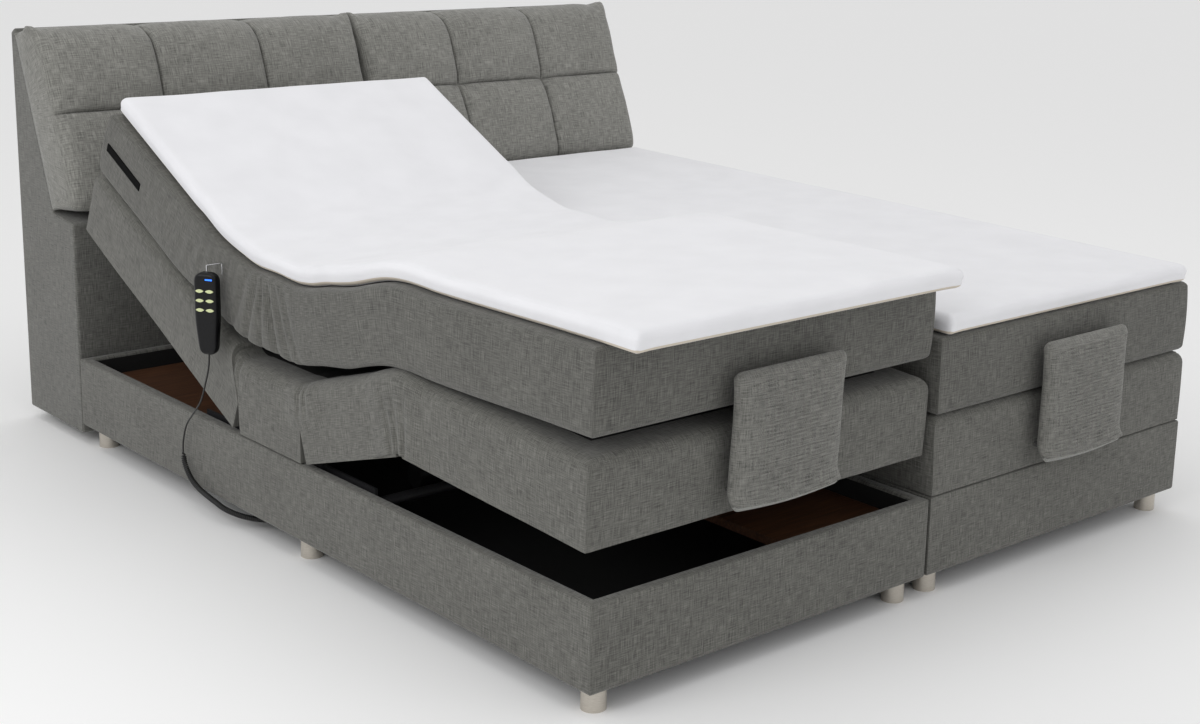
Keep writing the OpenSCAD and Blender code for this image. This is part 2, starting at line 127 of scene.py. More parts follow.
def add_object(name, data):
    obj = bpy.data.objects.new(name, data)
    bpy.context.scene.collection.objects.link(obj)
    return obj


# ---------------- camera
CAMERA_PLACE = (-2.88667, -2.40342, 1.54026)
CAMERA_ANGLES = (-44.0, 13.75, 2.06)
CAMERA_LENS = 57.26
CAMERA_SENSOR = 36.0
CAMERA_SHIFT = (-0.1167, -0.05)


def add_camera():
    """The photograph's viewpoint, from the foot end on the near side."""
    azimuth, elevation, roll = (math.radians(angle) for angle in CAMERA_ANGLES)
    back = Vector((math.sin(azimuth) * math.cos(elevation),
                   -math.cos(azimuth) * math.cos(elevation), math.sin(elevation)))
    right = (-back).cross(Vector((0, 0, 1))).normalized()
    up = right.cross(-back)
    turned_right = math.cos(roll) * right + math.sin(roll) * up
    turned_up = math.cos(roll) * up - math.sin(roll) * right
    data = bpy.data.cameras.new("camera")
    data.sensor_width = CAMERA_SENSOR
    data.lens = CAMERA_LENS
    data.shift_x, data.shift_y = CAMERA_SHIFT
    data.clip_end = 100
    camera = add_object("camera", data)
    camera.rotation_mode = "QUATERNION"
    camera.location = row(CAMERA_PLACE)
    camera.rotation_quaternion = Matrix((turned_right, turned_up, back)).transposed().to_quaternion()
    bpy.context.scene.camera = camera


add_camera()


# ---------------- mesh helpers
# A point this close to a plane lies on it
TINY = 1e-6
# Where the grid lines of a rounded edge lie, as shares of its radius
EDGE_LINES = (0.0, 0.423, 0.732, 1.0)
# Faces that meet at a wider angle keep a sharp edge between them
SHARP_FROM = math.radians(50)
# What thick() tags a face with
OUTSIDE, INSIDE, RIM = 0, 1, 2


def freeze(obj):
    """Puts what the modifiers make into the mesh itself."""
    bpy.context.view_layer.update()
    graph = bpy.context.evaluated_depsgraph_get()
    made = bpy.data.meshes.new_from_object(obj.evaluated_get(graph))
    obj.modifiers.clear()
    obj.data = made


def new_piece(name, points, faces, uvs=None, material=None):
    """A smooth mesh from points in working coordinates. uvs holds a (u, v) in metres per corner."""
    mesh = bpy.data.meshes.new(name)
    shifted = np.asarray(points, float) + np.array(ORIGIN)
    mesh.from_pydata([tuple(p) for p in shifted], [], [tuple(f) for f in faces])
    mesh.update()
    mesh.polygons.foreach_set("use_smooth", [True] * len(mesh.polygons))
    mesh.set_sharp_from_angle(angle=SHARP_FROM)
    if uvs is not None:
        layer = mesh.uv_layers.new(name="weave")
        layer.data.foreach_set("uv", np.asarray(uvs, float).ravel())
    obj = add_object(name, mesh)
    if material is not None:
        mesh.materials.append(material)
    return obj


def face_outwards(obj, weld=None):
    """Turns every face outwards, after joining points that lie closer together than weld."""
    bm = bmesh.new()
    bm.from_mesh(obj.data)
    if weld:
        bmesh.ops.remove_doubles(bm, verts=bm.verts, dist=weld)
    bmesh.ops.recalc_face_normals(bm, faces=bm.faces)
    bm.to_mesh(obj.data)
    bm.free()


def recolour(obj, look, chosen):
    """Gives a second look to the faces for which chosen(face) holds."""
    obj.data.materials.append(MAT[look])
    for face in obj.data.polygons:
        if chosen(face):
            face.material_index = 1


def grid_lines(low, high, step, edge=0.0, ends=(True, True), at=()):
    """Positions from low to high about a step apart, closer together in the rounded edges."""
    near_edge = [share * edge for share in EDGE_LINES] if edge else [0.0]
    first = [low + e for e in near_edge] if ends[0] else [low]
    last = [high - e for e in reversed(near_edge)] if ends[1] else [high]
    stops = sorted([first[-1], *at, last[0]])
    middle = []
    for a, b in zip(stops, stops[1:]):
        n = max(1, round((b - a) / step))
        middle += [a + (b - a) * i / n for i in range(n)]
    return first[:-1] + middle + last


def lattice(xs, ys, zs, open_sides=()):
    """Points, faces and uvs of a quad box with the given grid lines. open_sides holds (axis, end)
    pairs."""
    lines = (xs, ys, zs)
    index, points, faces, uvs = {}, [], [], []

    def vertex(key):
        if key not in index:
            index[key] = len(points)
            points.append([lines[a][key[a]] for a in range(3)])
        return index[key]

    for axis in range(3):
        u, v = (axis + 1) % 3, (axis + 2) % 3
        flat_u, flat_v = ((1, 2), (0, 2), (0, 1))[axis]
        for end in (0, 1):
            if (axis, end) in open_sides:
                continue
            fixed = end * (len(lines[axis]) - 1)
            for a in range(len(lines[u]) - 1):
                for b in range(len(lines[v]) - 1):
                    ring = [(a, b), (a + 1, b), (a + 1, b + 1), (a, b + 1)]
                    if end == 0:
                        ring.reverse()
                    face = []
                    for p, q in ring:
                        key = [0, 0, 0]
                        key[axis], key[u], key[v] = fixed, p, q
                        face.append(vertex(tuple(key)))
                    faces.append(face)
                    uvs += [(points[i][flat_u], points[i][flat_v]) for i in face]
    return np.array(points), faces, uvs


def quad_box(low, high, steps, edge, free=(True, True), open_sides=()):
    """A lattice with one grid step per axis. free says which y ends are rounded."""
    ends = ((True, True), free, (True, True))
    return lattice(*[grid_lines(low[a], high[a], steps[a], edge, ends[a]) for a in range(3)], open_sides)


def soften(p, low, high, radius, corner=2.0, keep=(False,) * 6):
    """Rounds the edges of a box of points. corner above 2 leaves the upright corners squarer.
    keep marks sides that stay open and unrounded: low x, high x, low y, high y, low z, high z."""
    unbounded = 1e3
    low, high = np.array(low, float), np.array(high, float)
    inner_low = np.where([keep[0], keep[2], keep[4]], -unbounded, low + radius)
    inner_high = np.where([keep[1], keep[3], keep[5]], unbounded, high - radius)
    inner = np.clip(p, inner_low, inner_high)
    d = p - inner
    across = (np.abs(d[:, 0]) ** corner + np.abs(d[:, 1]) ** corner) ** (1 / corner)
    size = np.sqrt(across ** 2 + d[:, 2] ** 2)
    reach = np.abs(d).max(axis=1)
    scale = np.where(size > 1e-9, reach / np.maximum(size, 1e-9), 0)
    return inner + d * scale[:, None]


def ends_kept(free, underside=False):
    """soften's keep for a piece that is open at its joined y ends, and below if underside says so."""
    return (False, False, not free[0], not free[1], underside, False)


def free_faces(free, y0, y1):
    """(y, way out) of each free end."""
    return [(y, way) for on, y, way in ((free[0], y0, -1), (free[1], y1, 1)) if on]


def smooth_step(t):
    t = np.clip(t, 0, 1)
    return t * t * (3 - 2 * t)


def bump(x, centre, width):
    return np.exp(-((x - centre) / width) ** 2)


def wavy(p, size, seed):
    """Smooth made-up unevenness between -1 and 1, from a few fixed sine waves."""
    waves = 6
    turn = np.random.RandomState(seed)
    total = np.zeros(len(p))
    for k in range(waves):
        direction = turn.normal(size=3)
        direction /= np.linalg.norm(direction)
        total += np.sin(p @ direction * (2 * math.pi / size) * (0.7 + 0.25 * k) + turn.uniform(0, 6.28))
    return total / waves


# ---------------- bending to the stored pose
BACK_REST = {s: raised_by(f"{s}_back_tilt") for s in SIDE_SIGN}
THIGH_REST = {s: raised_by(f"{s}_thigh_tilt") for s in SIDE_SIGN}

# Where the mattress turns, as y at rest: from the fixed side to the moving side
ZONES = {
    "back": {NEAR: (1.095, 1.400), FAR: (1.095, 1.506)},
    "thigh": {NEAR: (1.089, 0.885), FAR: (1.089, 0.841)},
    "leg": {NEAR: (0.812, 0.500), FAR: (0.700, 0.480)},
}
# Each movable part of the soft layers: the bodies it joins, and its low and high y when flat
PARTS = {
    "back": (("root", "back"), (SEAT_MID, None)),
    "thigh": (("root", "thigh"), (THIGH_MID, SEAT_MID)),
    "leg": (("thigh", "leg"), (None, THIGH_MID)),
}


SETTLE_STEPS = 90


def turned(p, y0, z0, angle, way):
    """Points turned about a cross axis at (y0, z0), raising the side that way points to."""
    s, h = (p[:, 1] - y0) * way, p[:, 2] - z0
    q = p.copy()
    q[:, 1] = y0 + way * (s * np.cos(angle) - h * np.sin(angle))
    q[:, 2] = z0 + s * np.sin(angle) + h * np.cos(angle)
    return q


def settle(p, zone, move):
    """Finds where each point comes to lie, as its turn depends on its final y."""
    y = p[:, 1].copy()
    for _ in range(SETTLE_STEPS):
        q = move(smooth_step((y - zone[0]) / (zone[1] - zone[0])))
        y = 0.5 * y + 0.5 * q[:, 1]
    return q


def on_thigh(p, side):
    return turned(p, THIGH_Y, HINGE_Z, THIGH_REST[side], -1)


def on_back(p, side):
    return turned(p, BACK_Y, HINGE_Z, BACK_REST[side], 1)


def on_leg(p, side):
    return on_thigh(turned(p, KNEE_Y, HINGE_Z, -LEG_RATIO * THIGH_REST[side], -1), side)


# How far the near mattress stands off its base: (y, height), over the valley and at the foot end
LIFT = np.array([(-0.4, 0.040), (-0.08, 0.040), (0.0, 0.037), (0.15, 0.028), (0.30, 0.018), (0.45, 0.008),
                 (0.58, 0.001), (0.66, 0.003), (0.75, 0.012), (0.84, 0.025), (0.92, 0.036), (1.00, 0.040),
                 (1.09, 0.040), (1.16, 0.043), (1.22, 0.047), (1.28, 0.049), (1.34, 0.043), (1.40, 0.031),
                 (1.46, 0.016), (1.52, 0.005), (1.58, 0.0), (2.4, 0.0)])


LIFT_STEP = 0.005
LIFT_SMOOTHING = 17


def lift(p, side):
    """Flat points of a soft layer raised off the base, on the near unit only."""
    if side == FAR:
        return p
    fine = np.arange(LIFT[0, 0], LIFT[-1, 0], LIFT_STEP)
    window = np.hanning(LIFT_SMOOTHING)
    height = np.convolve(np.interp(fine, LIFT[:, 0], LIFT[:, 1]), window / window.sum(), "same")
    cut = LIFT_SMOOTHING // 2 + 1
    height[:cut], height[-cut:] = LIFT[0, 1], LIFT[-1, 1]
    q = p.copy()
    q[:, 2] += np.interp(p[:, 1], fine, height)
    return q


def bend(p, side, part, zone):
    """Flat points turned with a moving part, from not at all to fully across the zone."""
    back, thigh = BACK_REST[side], THIGH_REST[side]
    return settle(p, zone, {
        "back": lambda w: turned(p, BACK_Y, HINGE_Z, back * w, 1),
        "thigh": lambda w: turned(p, THIGH_Y, HINGE_Z, thigh * w, -1),
        "leg": lambda w: on_thigh(turned(p, KNEE_Y, HINGE_Z, -LEG_RATIO * thigh * w, -1), side),
    }[part])


def lay_soft(p, side, part):
    return bend(lift(p, side), side, part, ZONES[part][side])


def body(side, part):
    return "root" if part == "root" else f"{side}_{part}"


def blend_soft(obj, side, part):
    a, b = PARTS[part][0]
    body(side, a)
    body(side, b)
    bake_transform(obj)


# ---------------- materials
def material(name, rough=0.8, colour=(0.5, 0.5, 0.5), metal=0.0, sheen=0.0):
    made = bpy.data.materials.new(name)
    made.use_nodes = True
    shader = made.node_tree.nodes["Principled BSDF"]
    shader.inputs["Base Color"].default_value = (*colour, 1)
    shader.inputs["Roughness"].default_value = rough
    shader.inputs["Metallic"].default_value = metal
    shader.inputs["Sheen Weight"].default_value = sheen
    shader.inputs["Sheen Roughness"].default_value = 0.5
    return made, made.node_tree, shader


def noise(tree, vector, scale, detail=2.0, stretch=(1, 1, 1), roughness=0.5):
    mapping = tree.nodes.new("ShaderNodeMapping")
    mapping.inputs["Scale"].default_value = stretch
    tree.links.new(vector, mapping.inputs["Vector"])
    texture = tree.nodes.new("ShaderNodeTexNoise")
    texture.inputs["Scale"].default_value = scale
    texture.inputs["Detail"].default_value = detail
    texture.inputs["Roughness"].default_value = roughness
    tree.links.new(mapping.outputs[0], texture.inputs["Vector"])
    return texture.outputs["Fac"]


def maths(tree, kind, a, b):
    node = tree.nodes.new("ShaderNodeMath")
    node.operation = kind
    for socket, value in zip(node.inputs, (a, b)):
        if isinstance(value, (int, float)):
            socket.default_value = value
        else:
            tree.links.new(value, socket)
    return node.outputs[0]


def weighted(tree, *terms):
    """The sum of (value, weight) pairs."""
    (value, weight), *rest = terms
    scaled = maths(tree, "MULTIPLY", value, weight)
    return maths(tree, "ADD", scaled, weighted(tree, *rest)) if rest else scaled


def ramp(tree, value, stops):
    node = tree.nodes.new("ShaderNodeValToRGB")
    elements = node.color_ramp.elements
    while len(elements) < len(stops):
        elements.new(0.5)
    for element, (position, colour) in zip(elements, stops):
        element.position = position
        element.color = (*colour, 1)
    tree.links.new(value, node.inputs[0])
    return node.outputs[0]


def add_bump(tree, shader, height, strength, distance):
    node = tree.nodes.new("ShaderNodeBump")
    node.inputs["Strength"].default_value = strength
    node.inputs["Distance"].default_value = distance
    tree.links.new(height, node.inputs["Height"])
    tree.links.new(node.outputs[0], shader.inputs["Normal"])


def coordinates(tree, kind):
    if kind == "uv":
        node = tree.nodes.new("ShaderNodeUVMap")
        node.uv_map = "weave"
        return node.outputs[0]
    return tree.nodes.new("ShaderNodeTexCoord").outputs["Object"]


def linen(name, dark, light, rib=0.35):
    """Coarse melange linen: slubby threads both ways, with uneven colour."""
    made, tree, shader = material(name, rough=0.92, sheen=0.18)
    uv = coordinates(tree, "uv")
    upright = noise(tree, uv, 1.0, stretch=(620, 34, 1))
    across = noise(tree, uv, 1.0, stretch=(34, 620, 1))
    slubs = noise(tree, uv, 1.0, detail=3.0, stretch=(330, 22, 1))
    bars = noise(tree, uv, 1.0, stretch=(30, 360, 1))
    cloudy = noise(tree, uv, 7.0, detail=3.0)
    threads = weighted(tree, (upright, 0.5), (across, 0.5))
    streaks = weighted(tree, (slubs, 0.6), (bars, rib))
    tone = weighted(tree, (threads, 0.80), (streaks, 0.24), (cloudy, 0.08))
    tree.links.new(ramp(tree, tone, [(0.44, dark), (0.68, light)]), shader.inputs["Base Color"])
    add_bump(tree, shader, maths(tree, "ADD", threads, streaks), strength=0.55, distance=0.0016)
    return made


def jersey(name, colour):
    """Fine white knitted cover with a soft quilted unevenness."""
    made, tree, shader = material(name, rough=0.85, sheen=0.25)
    uv = coordinates(tree, "uv")
    fine = noise(tree, uv, 1.0, stretch=(900, 700, 1))
    soft = noise(tree, uv, 9.0)
    # Painted shade: the colour is 5% darker where the soft noise is low, in the dips of the quilted relief
    shaded = tuple(c * 0.95 for c in colour)
    tree.links.new(ramp(tree, soft, [(0.3, shaded), (0.7, colour)]), shader.inputs["Base Color"])
    relief = maths(tree, "ADD", fine, maths(tree, "MULTIPLY", soft, 3.0))
    add_bump(tree, shader, relief, strength=0.25, distance=0.0012)
    return made


def speckled(name, dark, light, scale, rough, depth, metal=0.0, spec=0.5, stretch=(1, 1, 1)):
    """Any surface whose colour, gloss and relief vary with one noise: lining, paint, plastic, metal."""
    made, tree, shader = material(name, rough=rough, metal=metal)
    shader.inputs["Specular IOR Level"].default_value = spec
    grain = noise(tree, coordinates(tree, "object"), scale, detail=4.0, stretch=stretch)
    tree.links.new(ramp(tree, grain, [(0.3, dark), (0.7, light)]), shader.inputs["Base Color"])
    level = maths(tree, "ADD", maths(tree, "MULTIPLY", grain, 0.12), rough - 0.06)
    tree.links.new(level, shader.inputs["Roughness"])
    add_bump(tree, shader, grain, strength=0.4, distance=depth)
    return made


def wood(name):
    made, tree, shader = material(name, rough=0.55)
    grain = noise(tree, coordinates(tree, "object"), 1.0, detail=5.0, stretch=(9, 160, 160), roughness=0.6)
    colour = ramp(tree, grain, [(0.3, (0.045, 0.017, 0.007)), (0.55, (0.095, 0.038, 0.016)),
                                (0.75, (0.15, 0.066, 0.029))])
    tree.links.new(colour, shader.inputs["Base Color"])
    add_bump(tree, shader, grain, strength=0.3, distance=0.0006)
    return made


def glowing(name, colour, strength):
    made, tree, shader = material(name, rough=0.3, colour=colour)
    shader.inputs["Emission Color"].default_value = (*colour, 1)
    shader.inputs["Emission Strength"].default_value = strength
    grain = noise(tree, coordinates(tree, "object"), 900.0)
    add_bump(tree, shader, grain, strength=0.1, distance=0.0002)
    return made


MAT = {
    "base": linen("base_linen", (0.050, 0.049, 0.043), (0.172, 0.170, 0.153)),
    "head": linen("head_linen", (0.104, 0.103, 0.093), (0.300, 0.297, 0.272)),
    "head_frame": linen("frame_linen", (0.062, 0.062, 0.056), (0.180, 0.178, 0.163)),
    "mattress": linen("mattress_linen", (0.043, 0.042, 0.037), (0.152, 0.150, 0.135)),
    "retainer": linen("retainer_linen", (0.055, 0.055, 0.049), (0.226, 0.223, 0.204), rib=0.6),
    "hem": linen("hem_linen", (0.16, 0.16, 0.145), (0.34, 0.34, 0.32)),
    "topper": jersey("topper_jersey", (0.79, 0.79, 0.815)),
    "topper_edge": jersey("topper_edge_tape", (0.62, 0.55, 0.45)),
    # Black lining cloth, also laid on the section decks as painted shade in the gap under the mattress
    "lining": speckled("black_lining", (0.002, 0.002, 0.002), (0.008, 0.008, 0.008), 420, 0.92, 0.0008),
    "strap": speckled("black_strap", (0.001, 0.001, 0.001), (0.004, 0.004, 0.004), 900, 0.9, 0.0005,
                      spec=0.1),
    "steel": speckled("black_painted_steel", (0.018, 0.018, 0.020), (0.032, 0.032, 0.034), 300, 0.42, 0.0003),
    "rod": speckled("bright_steel", (0.50, 0.50, 0.52), (0.66, 0.66, 0.67), 500, 0.25, 0.0001, metal=1.0),
    "foot": speckled("satin_feet", (0.50, 0.46, 0.40), (0.62, 0.58, 0.52), 120, 0.38, 0.0002, metal=0.75,
                     stretch=(1, 1, 14)),
    "plastic": speckled("black_plastic", (0.010, 0.010, 0.011), (0.019, 0.019, 0.020), 700, 0.5, 0.0003),
    "gloss": speckled("handset_plastic", (0.002, 0.002, 0.0025), (0.005, 0.005, 0.006), 260, 0.30, 0.0001,
                      spec=0.25),
    "key": speckled("key_plastic", (0.55, 0.60, 0.30), (0.70, 0.74, 0.44), 500, 0.45, 0.0001),
    "cable": speckled("cable_rubber", (0.006, 0.006, 0.006), (0.014, 0.014, 0.014), 800, 0.45, 0.0002),
    "light": glowing("indicator", (0.02, 0.15, 0.95), 2.0),
    "wood": wood("brown_board"),
}


# ---------------- cord
CABLE_D = 0.004
COIL_OUTER = 0.013
COIL_PITCH = 0.0047
POINTS_PER_TURN = 14
# Length over which the coil grows from the line at either end
COIL_RUN_IN = 0.022
COIL_SAMPLES = 4000
# Share of the points that goes by length, so that the ends without turns get some
EVEN_SHARE = 0.15
CABLE_ROUTE = [(-0.935, 1.275, 0.400), (-0.935, 1.280, 0.370), (-0.934, 1.298, 0.330), (-0.930, 1.330, 0.280),
               (-0.923, 1.380, 0.238), (-0.917, 1.425, 0.200), (-0.915, 1.446, 0.160), (-0.915, 1.450, 0.135)]
CURL_ROUTE = [(-0.915, 1.450, 0.135), (-0.915, 1.445, 0.105), (-0.915, 1.420, 0.076), (-0.915, 1.385, 0.060),
              (-0.915, 1.349, 0.053), (-0.914, 1.310, 0.047), (-0.911, 1.275, 0.040), (-0.898, 1.240, 0.033),
              (-0.878, 1.205, 0.029), (-0.858, 1.175, 0.030), (-0.846, 1.158, 0.036)]
GLAND = (-0.846, 1.158, 0.046)


def smooth_route(route, steps):
    """A smooth line through the points, as the part's own cord has."""
    p = np.array([route[0], *route, route[-1]], float)
    line = []
    for i in range(len(route) - 1):
        a, b, c, d = p[i:i + 4]
        for t in np.arange(steps) / steps:
            line.append(0.5 * (2 * b + (c - a) * t + (2 * a - 5 * b + 4 * c - d) * t ** 2
                               + (3 * b - a - 3 * c + d) * t ** 3))
    return np.array([*line, route[-1]])


def coil(line, radius, pitch, run_in):
    """A wire wound round the line, starting and ending gently on the line itself."""
    steps = np.linalg.norm(np.diff(line, axis=0), axis=1)
    along = np.concatenate([[0], np.cumsum(steps)])
    total = along[-1]
    fine = np.linspace(0, total, COIL_SAMPLES)
    centre = np.stack([np.interp(fine, along, line[:, k]) for k in range(3)], 1)
    fade = smooth_step(fine / run_in) * smooth_step((total - fine) / run_in)
    angle = np.concatenate([[0], np.cumsum(np.diff(fine) * fade[1:] * 2 * math.pi / pitch)])
    heading = np.gradient(centre, axis=0)
    heading /= np.linalg.norm(heading, axis=1)[:, None]
    side = np.cross(heading, (1.0, 0.0, 0.0))
    side /= np.linalg.norm(side, axis=1)[:, None]
    up = np.cross(heading, side)
    reach = (radius * fade)[:, None]
    wire = centre + reach * (np.cos(angle)[:, None] * side + np.sin(angle)[:, None] * up)
    turns = angle[-1] / (2 * math.pi)
    count = int(turns * POINTS_PER_TURN)
    progress = angle / angle[-1] + fine / total * EVEN_SHARE
    wanted = np.linspace(0, progress[-1], count)
    return np.stack([np.interp(wanted, progress, wire[:, k]) for k in range(3)], 1)


def make_cord():
    cable = smooth_route(CABLE_ROUTE, 4)
    curl = coil(smooth_route(CURL_ROUTE, 8), (COIL_OUTER - CABLE_D) / 2, COIL_PITCH, COIL_RUN_IN)
    path = np.concatenate([cable[:-1], curl, [GLAND]])
    curve = bpy.data.curves.new("handset_cord", "CURVE")
    curve.dimensions = "3D"
    curve.bevel_depth = CABLE_D / 2
    curve.bevel_resolution = 2
    curve.use_fill_caps = True
    spline = curve.splines.new("POLY")
    spline.points.add(len(path) - 1)
    placed = path + np.array(ORIGIN)
    spline.points.foreach_set("co", np.concatenate([placed, np.ones((len(placed), 1))], 1).ravel())
    spline.use_smooth = True
    cord = add_object("handset_cord", curve)
    curve.materials.append(MAT["cable"])
    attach(cord, "root")
    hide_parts("handset_cable", "handset_curly_cord")


make_cord()


# ---------------- mattresses and toppers
MATTRESS_R, MATTRESS_CORNER = 0.012, 9.0
TOPPER_R, TOPPER_CORNER = 0.019, 3.2
# A topper's seam: height over its underside, depth, width. Its edge tape lies below it.
SEAM_UP, SEAM_DEPTH, SEAM_WIDTH = 0.016, 0.0032, 0.0034
TAPE_UP = 0.009
# This close to the flat side or end, a point belongs to it
ON_FACE = 0.001
# The band along a side or end that swells with it
BAND = 0.03
# Dents down the near mattress's sides over the valley: y, lean, depth, width
VALLEY_DENTS = ((1.035, 0.5, 0.006, 0.010), (1.085, 0.25, 0.009, 0.010), (1.130, -0.1, 0.007, 0.009),
                (1.180, -0.45, 0.008, 0.011), (1.245, -0.6, 0.004, 0.014), (0.985, 0.5, 0.004, 0.013))
# The ripples beside them, up the raised back
RIPPLE_Y, RIPPLE_REACH, RIPPLE_DEPTH, RIPPLE_STEP = 1.48, 0.20, 0.0016, 0.048


def span(part, near_end, far_end):
    low, high = PARTS[part][1]
    return (near_end if low is None else low), (far_end if high is None else high)


def crease(p, y, lean, depth, width, z_mid):
    """One inward dent down the sides of a soft layer where it bends."""
    line = y + lean * (p[:, 2] - z_mid)
    return depth * bump(p[:, 1], line, width)


def soft_mattress(side, part):
    y0, y1 = span(part, 0.0, MATTRESS_LEN)
    low, high = (-MATTRESS_W / 2, y0, MATTRESS_BOTTOM), (MATTRESS_W / 2, y1, MATTRESS_TOP)
    free = (part == "leg", part == "back")
    p, faces, uvs = quad_box(low, high, (0.026, 0.009, 0.013), MATTRESS_R, free)
    flat = p.copy()
    p = soften(p, low, high, MATTRESS_R, MATTRESS_CORNER, ends_kept(free))
    middle = (MATTRESS_BOTTOM + MATTRESS_TOP) / 2
    upright = 1 - ((flat[:, 2] - middle) / (MATTRESS_TOP - middle)) ** 2
    outer = smooth_step((np.abs(flat[:, 0]) - MATTRESS_W / 2 + BAND) / BAND)
    bulge = 0.0035 * upright - 0.0025 + 0.0016 * wavy(flat, 0.33, 3)
    dents = 0
    if side == NEAR:
        for y, lean, depth, width in VALLEY_DENTS:
            dents = dents + crease(flat, y, lean, depth, width, middle)
        dents = dents * (0.45 + 0.55 * smooth_step((MATTRESS_TOP - flat[:, 2]) / 0.05))
        folds = bump(flat[:, 1], RIPPLE_Y, RIPPLE_REACH) * (0.6 + 0.4 * wavy(flat, 0.35, 17))
        phase = 2 * math.pi * (flat[:, 1] + 0.15 * flat[:, 2]) / RIPPLE_STEP + 2.2 * wavy(flat, 0.5, 19)
        dents = dents + RIPPLE_DEPTH * folds * upright * np.sin(phase)
    p[:, 0] += np.sign(flat[:, 0]) * outer * (bulge - dents)
    for face_y, way in free_faces(free, y0, y1):
        close = smooth_step((BAND - np.abs(flat[:, 1] - face_y)) / BAND)
        p[:, 1] += way * close * (0.004 * upright - 0.004 + 0.002 * wavy(flat, 0.30, 9))
    p[:, 2] += 0.0012 * wavy(flat, 0.45, 5) * smooth_step((middle - flat[:, 2]) / 0.05)
    made = new_piece(f"{side}_mattress_{part}_pad", lay_soft(p, side, part), faces, uvs, MAT["mattress"])
    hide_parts(f"{side}_mattress_{part}", "mattress_seats")
    blend_soft(made, side, part)


def soft_topper(side, part):
    slip = TOPPER_SLIP if side == NEAR else 0.0
    y0, y1 = span(part, -slip, TOPPER_LEN)
    low, high = (-TOPPER_W / 2, y0, TOPPER_BOTTOM), (TOPPER_W / 2, y1, TOPPER_TOP)
    free = (part == "leg", part == "back")
    p, faces, uvs = quad_box(low, high, (0.026, 0.012, 0.006), TOPPER_R, free)
    flat = p.copy()
    p = soften(p, low, high, TOPPER_R, TOPPER_CORNER, ends_kept(free))
    seam = SEAM_DEPTH * bump(flat[:, 2], TOPPER_BOTTOM + SEAM_UP, SEAM_WIDTH)
    p[:, 0] -= np.sign(p[:, 0]) * seam * (np.abs(flat[:, 0]) > TOPPER_W / 2 - ON_FACE)
    for face_y, way in free_faces(free, y0, y1):
        p[:, 1] -= way * seam * (np.abs(flat[:, 1] - face_y) < ON_FACE)
    top = smooth_step((flat[:, 2] - TOPPER_BOTTOM - 0.02) / 0.02)
    p[:, 2] += top * 0.0022 * wavy(flat, 0.36, 11) - 0.0012 * top
    if free[0]:
        corner = smooth_step((np.abs(flat[:, 0]) - TOPPER_W / 2 + 0.05) / 0.05)
        p[:, 1] -= 0.005 * corner * smooth_step((y0 + BAND - flat[:, 1]) / BAND)
    made = new_piece(f"{side}_topper_{part}_pad", lay_soft(p, side, part), faces, uvs, MAT["topper"])

    def taped(face):
        spots = flat[list(face.vertices)]
        on_side = np.abs(spots[:, 0]).max() > TOPPER_W / 2 - ON_FACE
        on_end = free[0] and spots[:, 1].min() < y0 + ON_FACE
        return (on_side or on_end) and spots[:, 2].max() < TOPPER_BOTTOM + TAPE_UP

    recolour(made, "topper_edge", taped)
    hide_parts(f"{side}_topper_{part}", "topper_seats")
    blend_soft(made, side, part)


for side in units():
    for part in PARTS:
        soft_mattress(side, part)
        soft_topper(side, part)


# ---------------- shells with thickness
def thick(points, faces, uvs, inner):
    """A closed shell from an open outer surface and the matching inner points. Returns also a tag
    per face: OUTSIDE, INSIDE, or RIM for the edge between them."""
    count = len(points)
    edges = {(a, b): True for face in faces for a, b in zip(face, face[1:] + face[:1])}
    rim = [(a, b) for (a, b) in edges if (b, a) not in edges]
    all_points = np.concatenate([points, inner])
    all_faces = list(faces) + [[i + count for i in reversed(f)] for f in faces]
    tags = [OUTSIDE] * len(faces) + [INSIDE] * len(faces) + [RIM] * len(rim)
    all_uvs = list(uvs)
    start = 0
    for f in faces:
        n = len(f)
        all_uvs += list(reversed(uvs[start:start + n]))
        start += n
    for a, b in rim:
        all_faces.append([b, a, a + count, b + count])
        pa, pb = points[a], points[b]
        depth = float(np.linalg.norm(inner[a] - pa))
        u = (pa[0] + pa[1], pb[0] + pb[1])
        all_uvs += [(u[1], 0), (u[0], 0), (u[0], depth), (u[1], depth)]
    return all_points, all_faces, all_uvs, tags


# ---------------- lower boxes
WALL = 0.026
RIM_R = 0.007
RIM_CORNER = 10.0
LINING_Z = FOOT_H + 0.003
# How far the linen turns in over the rim before the lining starts
TURN_IN = 0.016


def lower_box(side):
    low, high = (-UNIT_W / 2, 0.0, FOOT_H), (UNIT_W / 2, BOX_LEN, BOX_TOP)
    p, faces, uvs = quad_box(low, high, (0.03, 0.03, 0.02), RIM_R, open_sides=((2, 1),))
    flat = p.copy()
    outer = soften(p, low, high, RIM_R, RIM_CORNER)
    on_side = np.abs(flat[:, 0]) > UNIT_W / 2 - TINY
    outer[:, 0] += np.sign(flat[:, 0]) * 0.0012 * wavy(flat, 0.5, 21) * on_side
    over = np.clip((flat[:, 2] - BOX_TOP + RIM_R) / RIM_R, 0, 1)
    back_off = RIM_R * (1 - np.sqrt(np.maximum(1 - over ** 2, 0)))
    inner = flat.copy()
    half_x, half_y = UNIT_W / 2 - WALL + back_off, BOX_LEN / 2 - WALL + back_off
    inner[:, 0] = np.clip(inner[:, 0], -half_x, half_x)
    inner[:, 1] = BOX_LEN / 2 + np.clip(inner[:, 1] - BOX_LEN / 2, -half_y, half_y)
    inner[:, 2] = np.maximum(inner[:, 2], LINING_Z)
    points, faces, uvs, tags = thick(outer, faces, uvs, inner)
    made = new_piece(f"{side}_box_cover", points, faces, uvs, MAT["base"])

    def lined(face):
        tag, z = tags[face.index], face.center.z
        return (tag == INSIDE and z < BOX_TOP - TURN_IN) or (tag == OUTSIDE and z < FOOT_H + 0.001)

    recolour(made, "lining", lined)
    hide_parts(f"{side}_box", "box_linings")
    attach(made, "root")


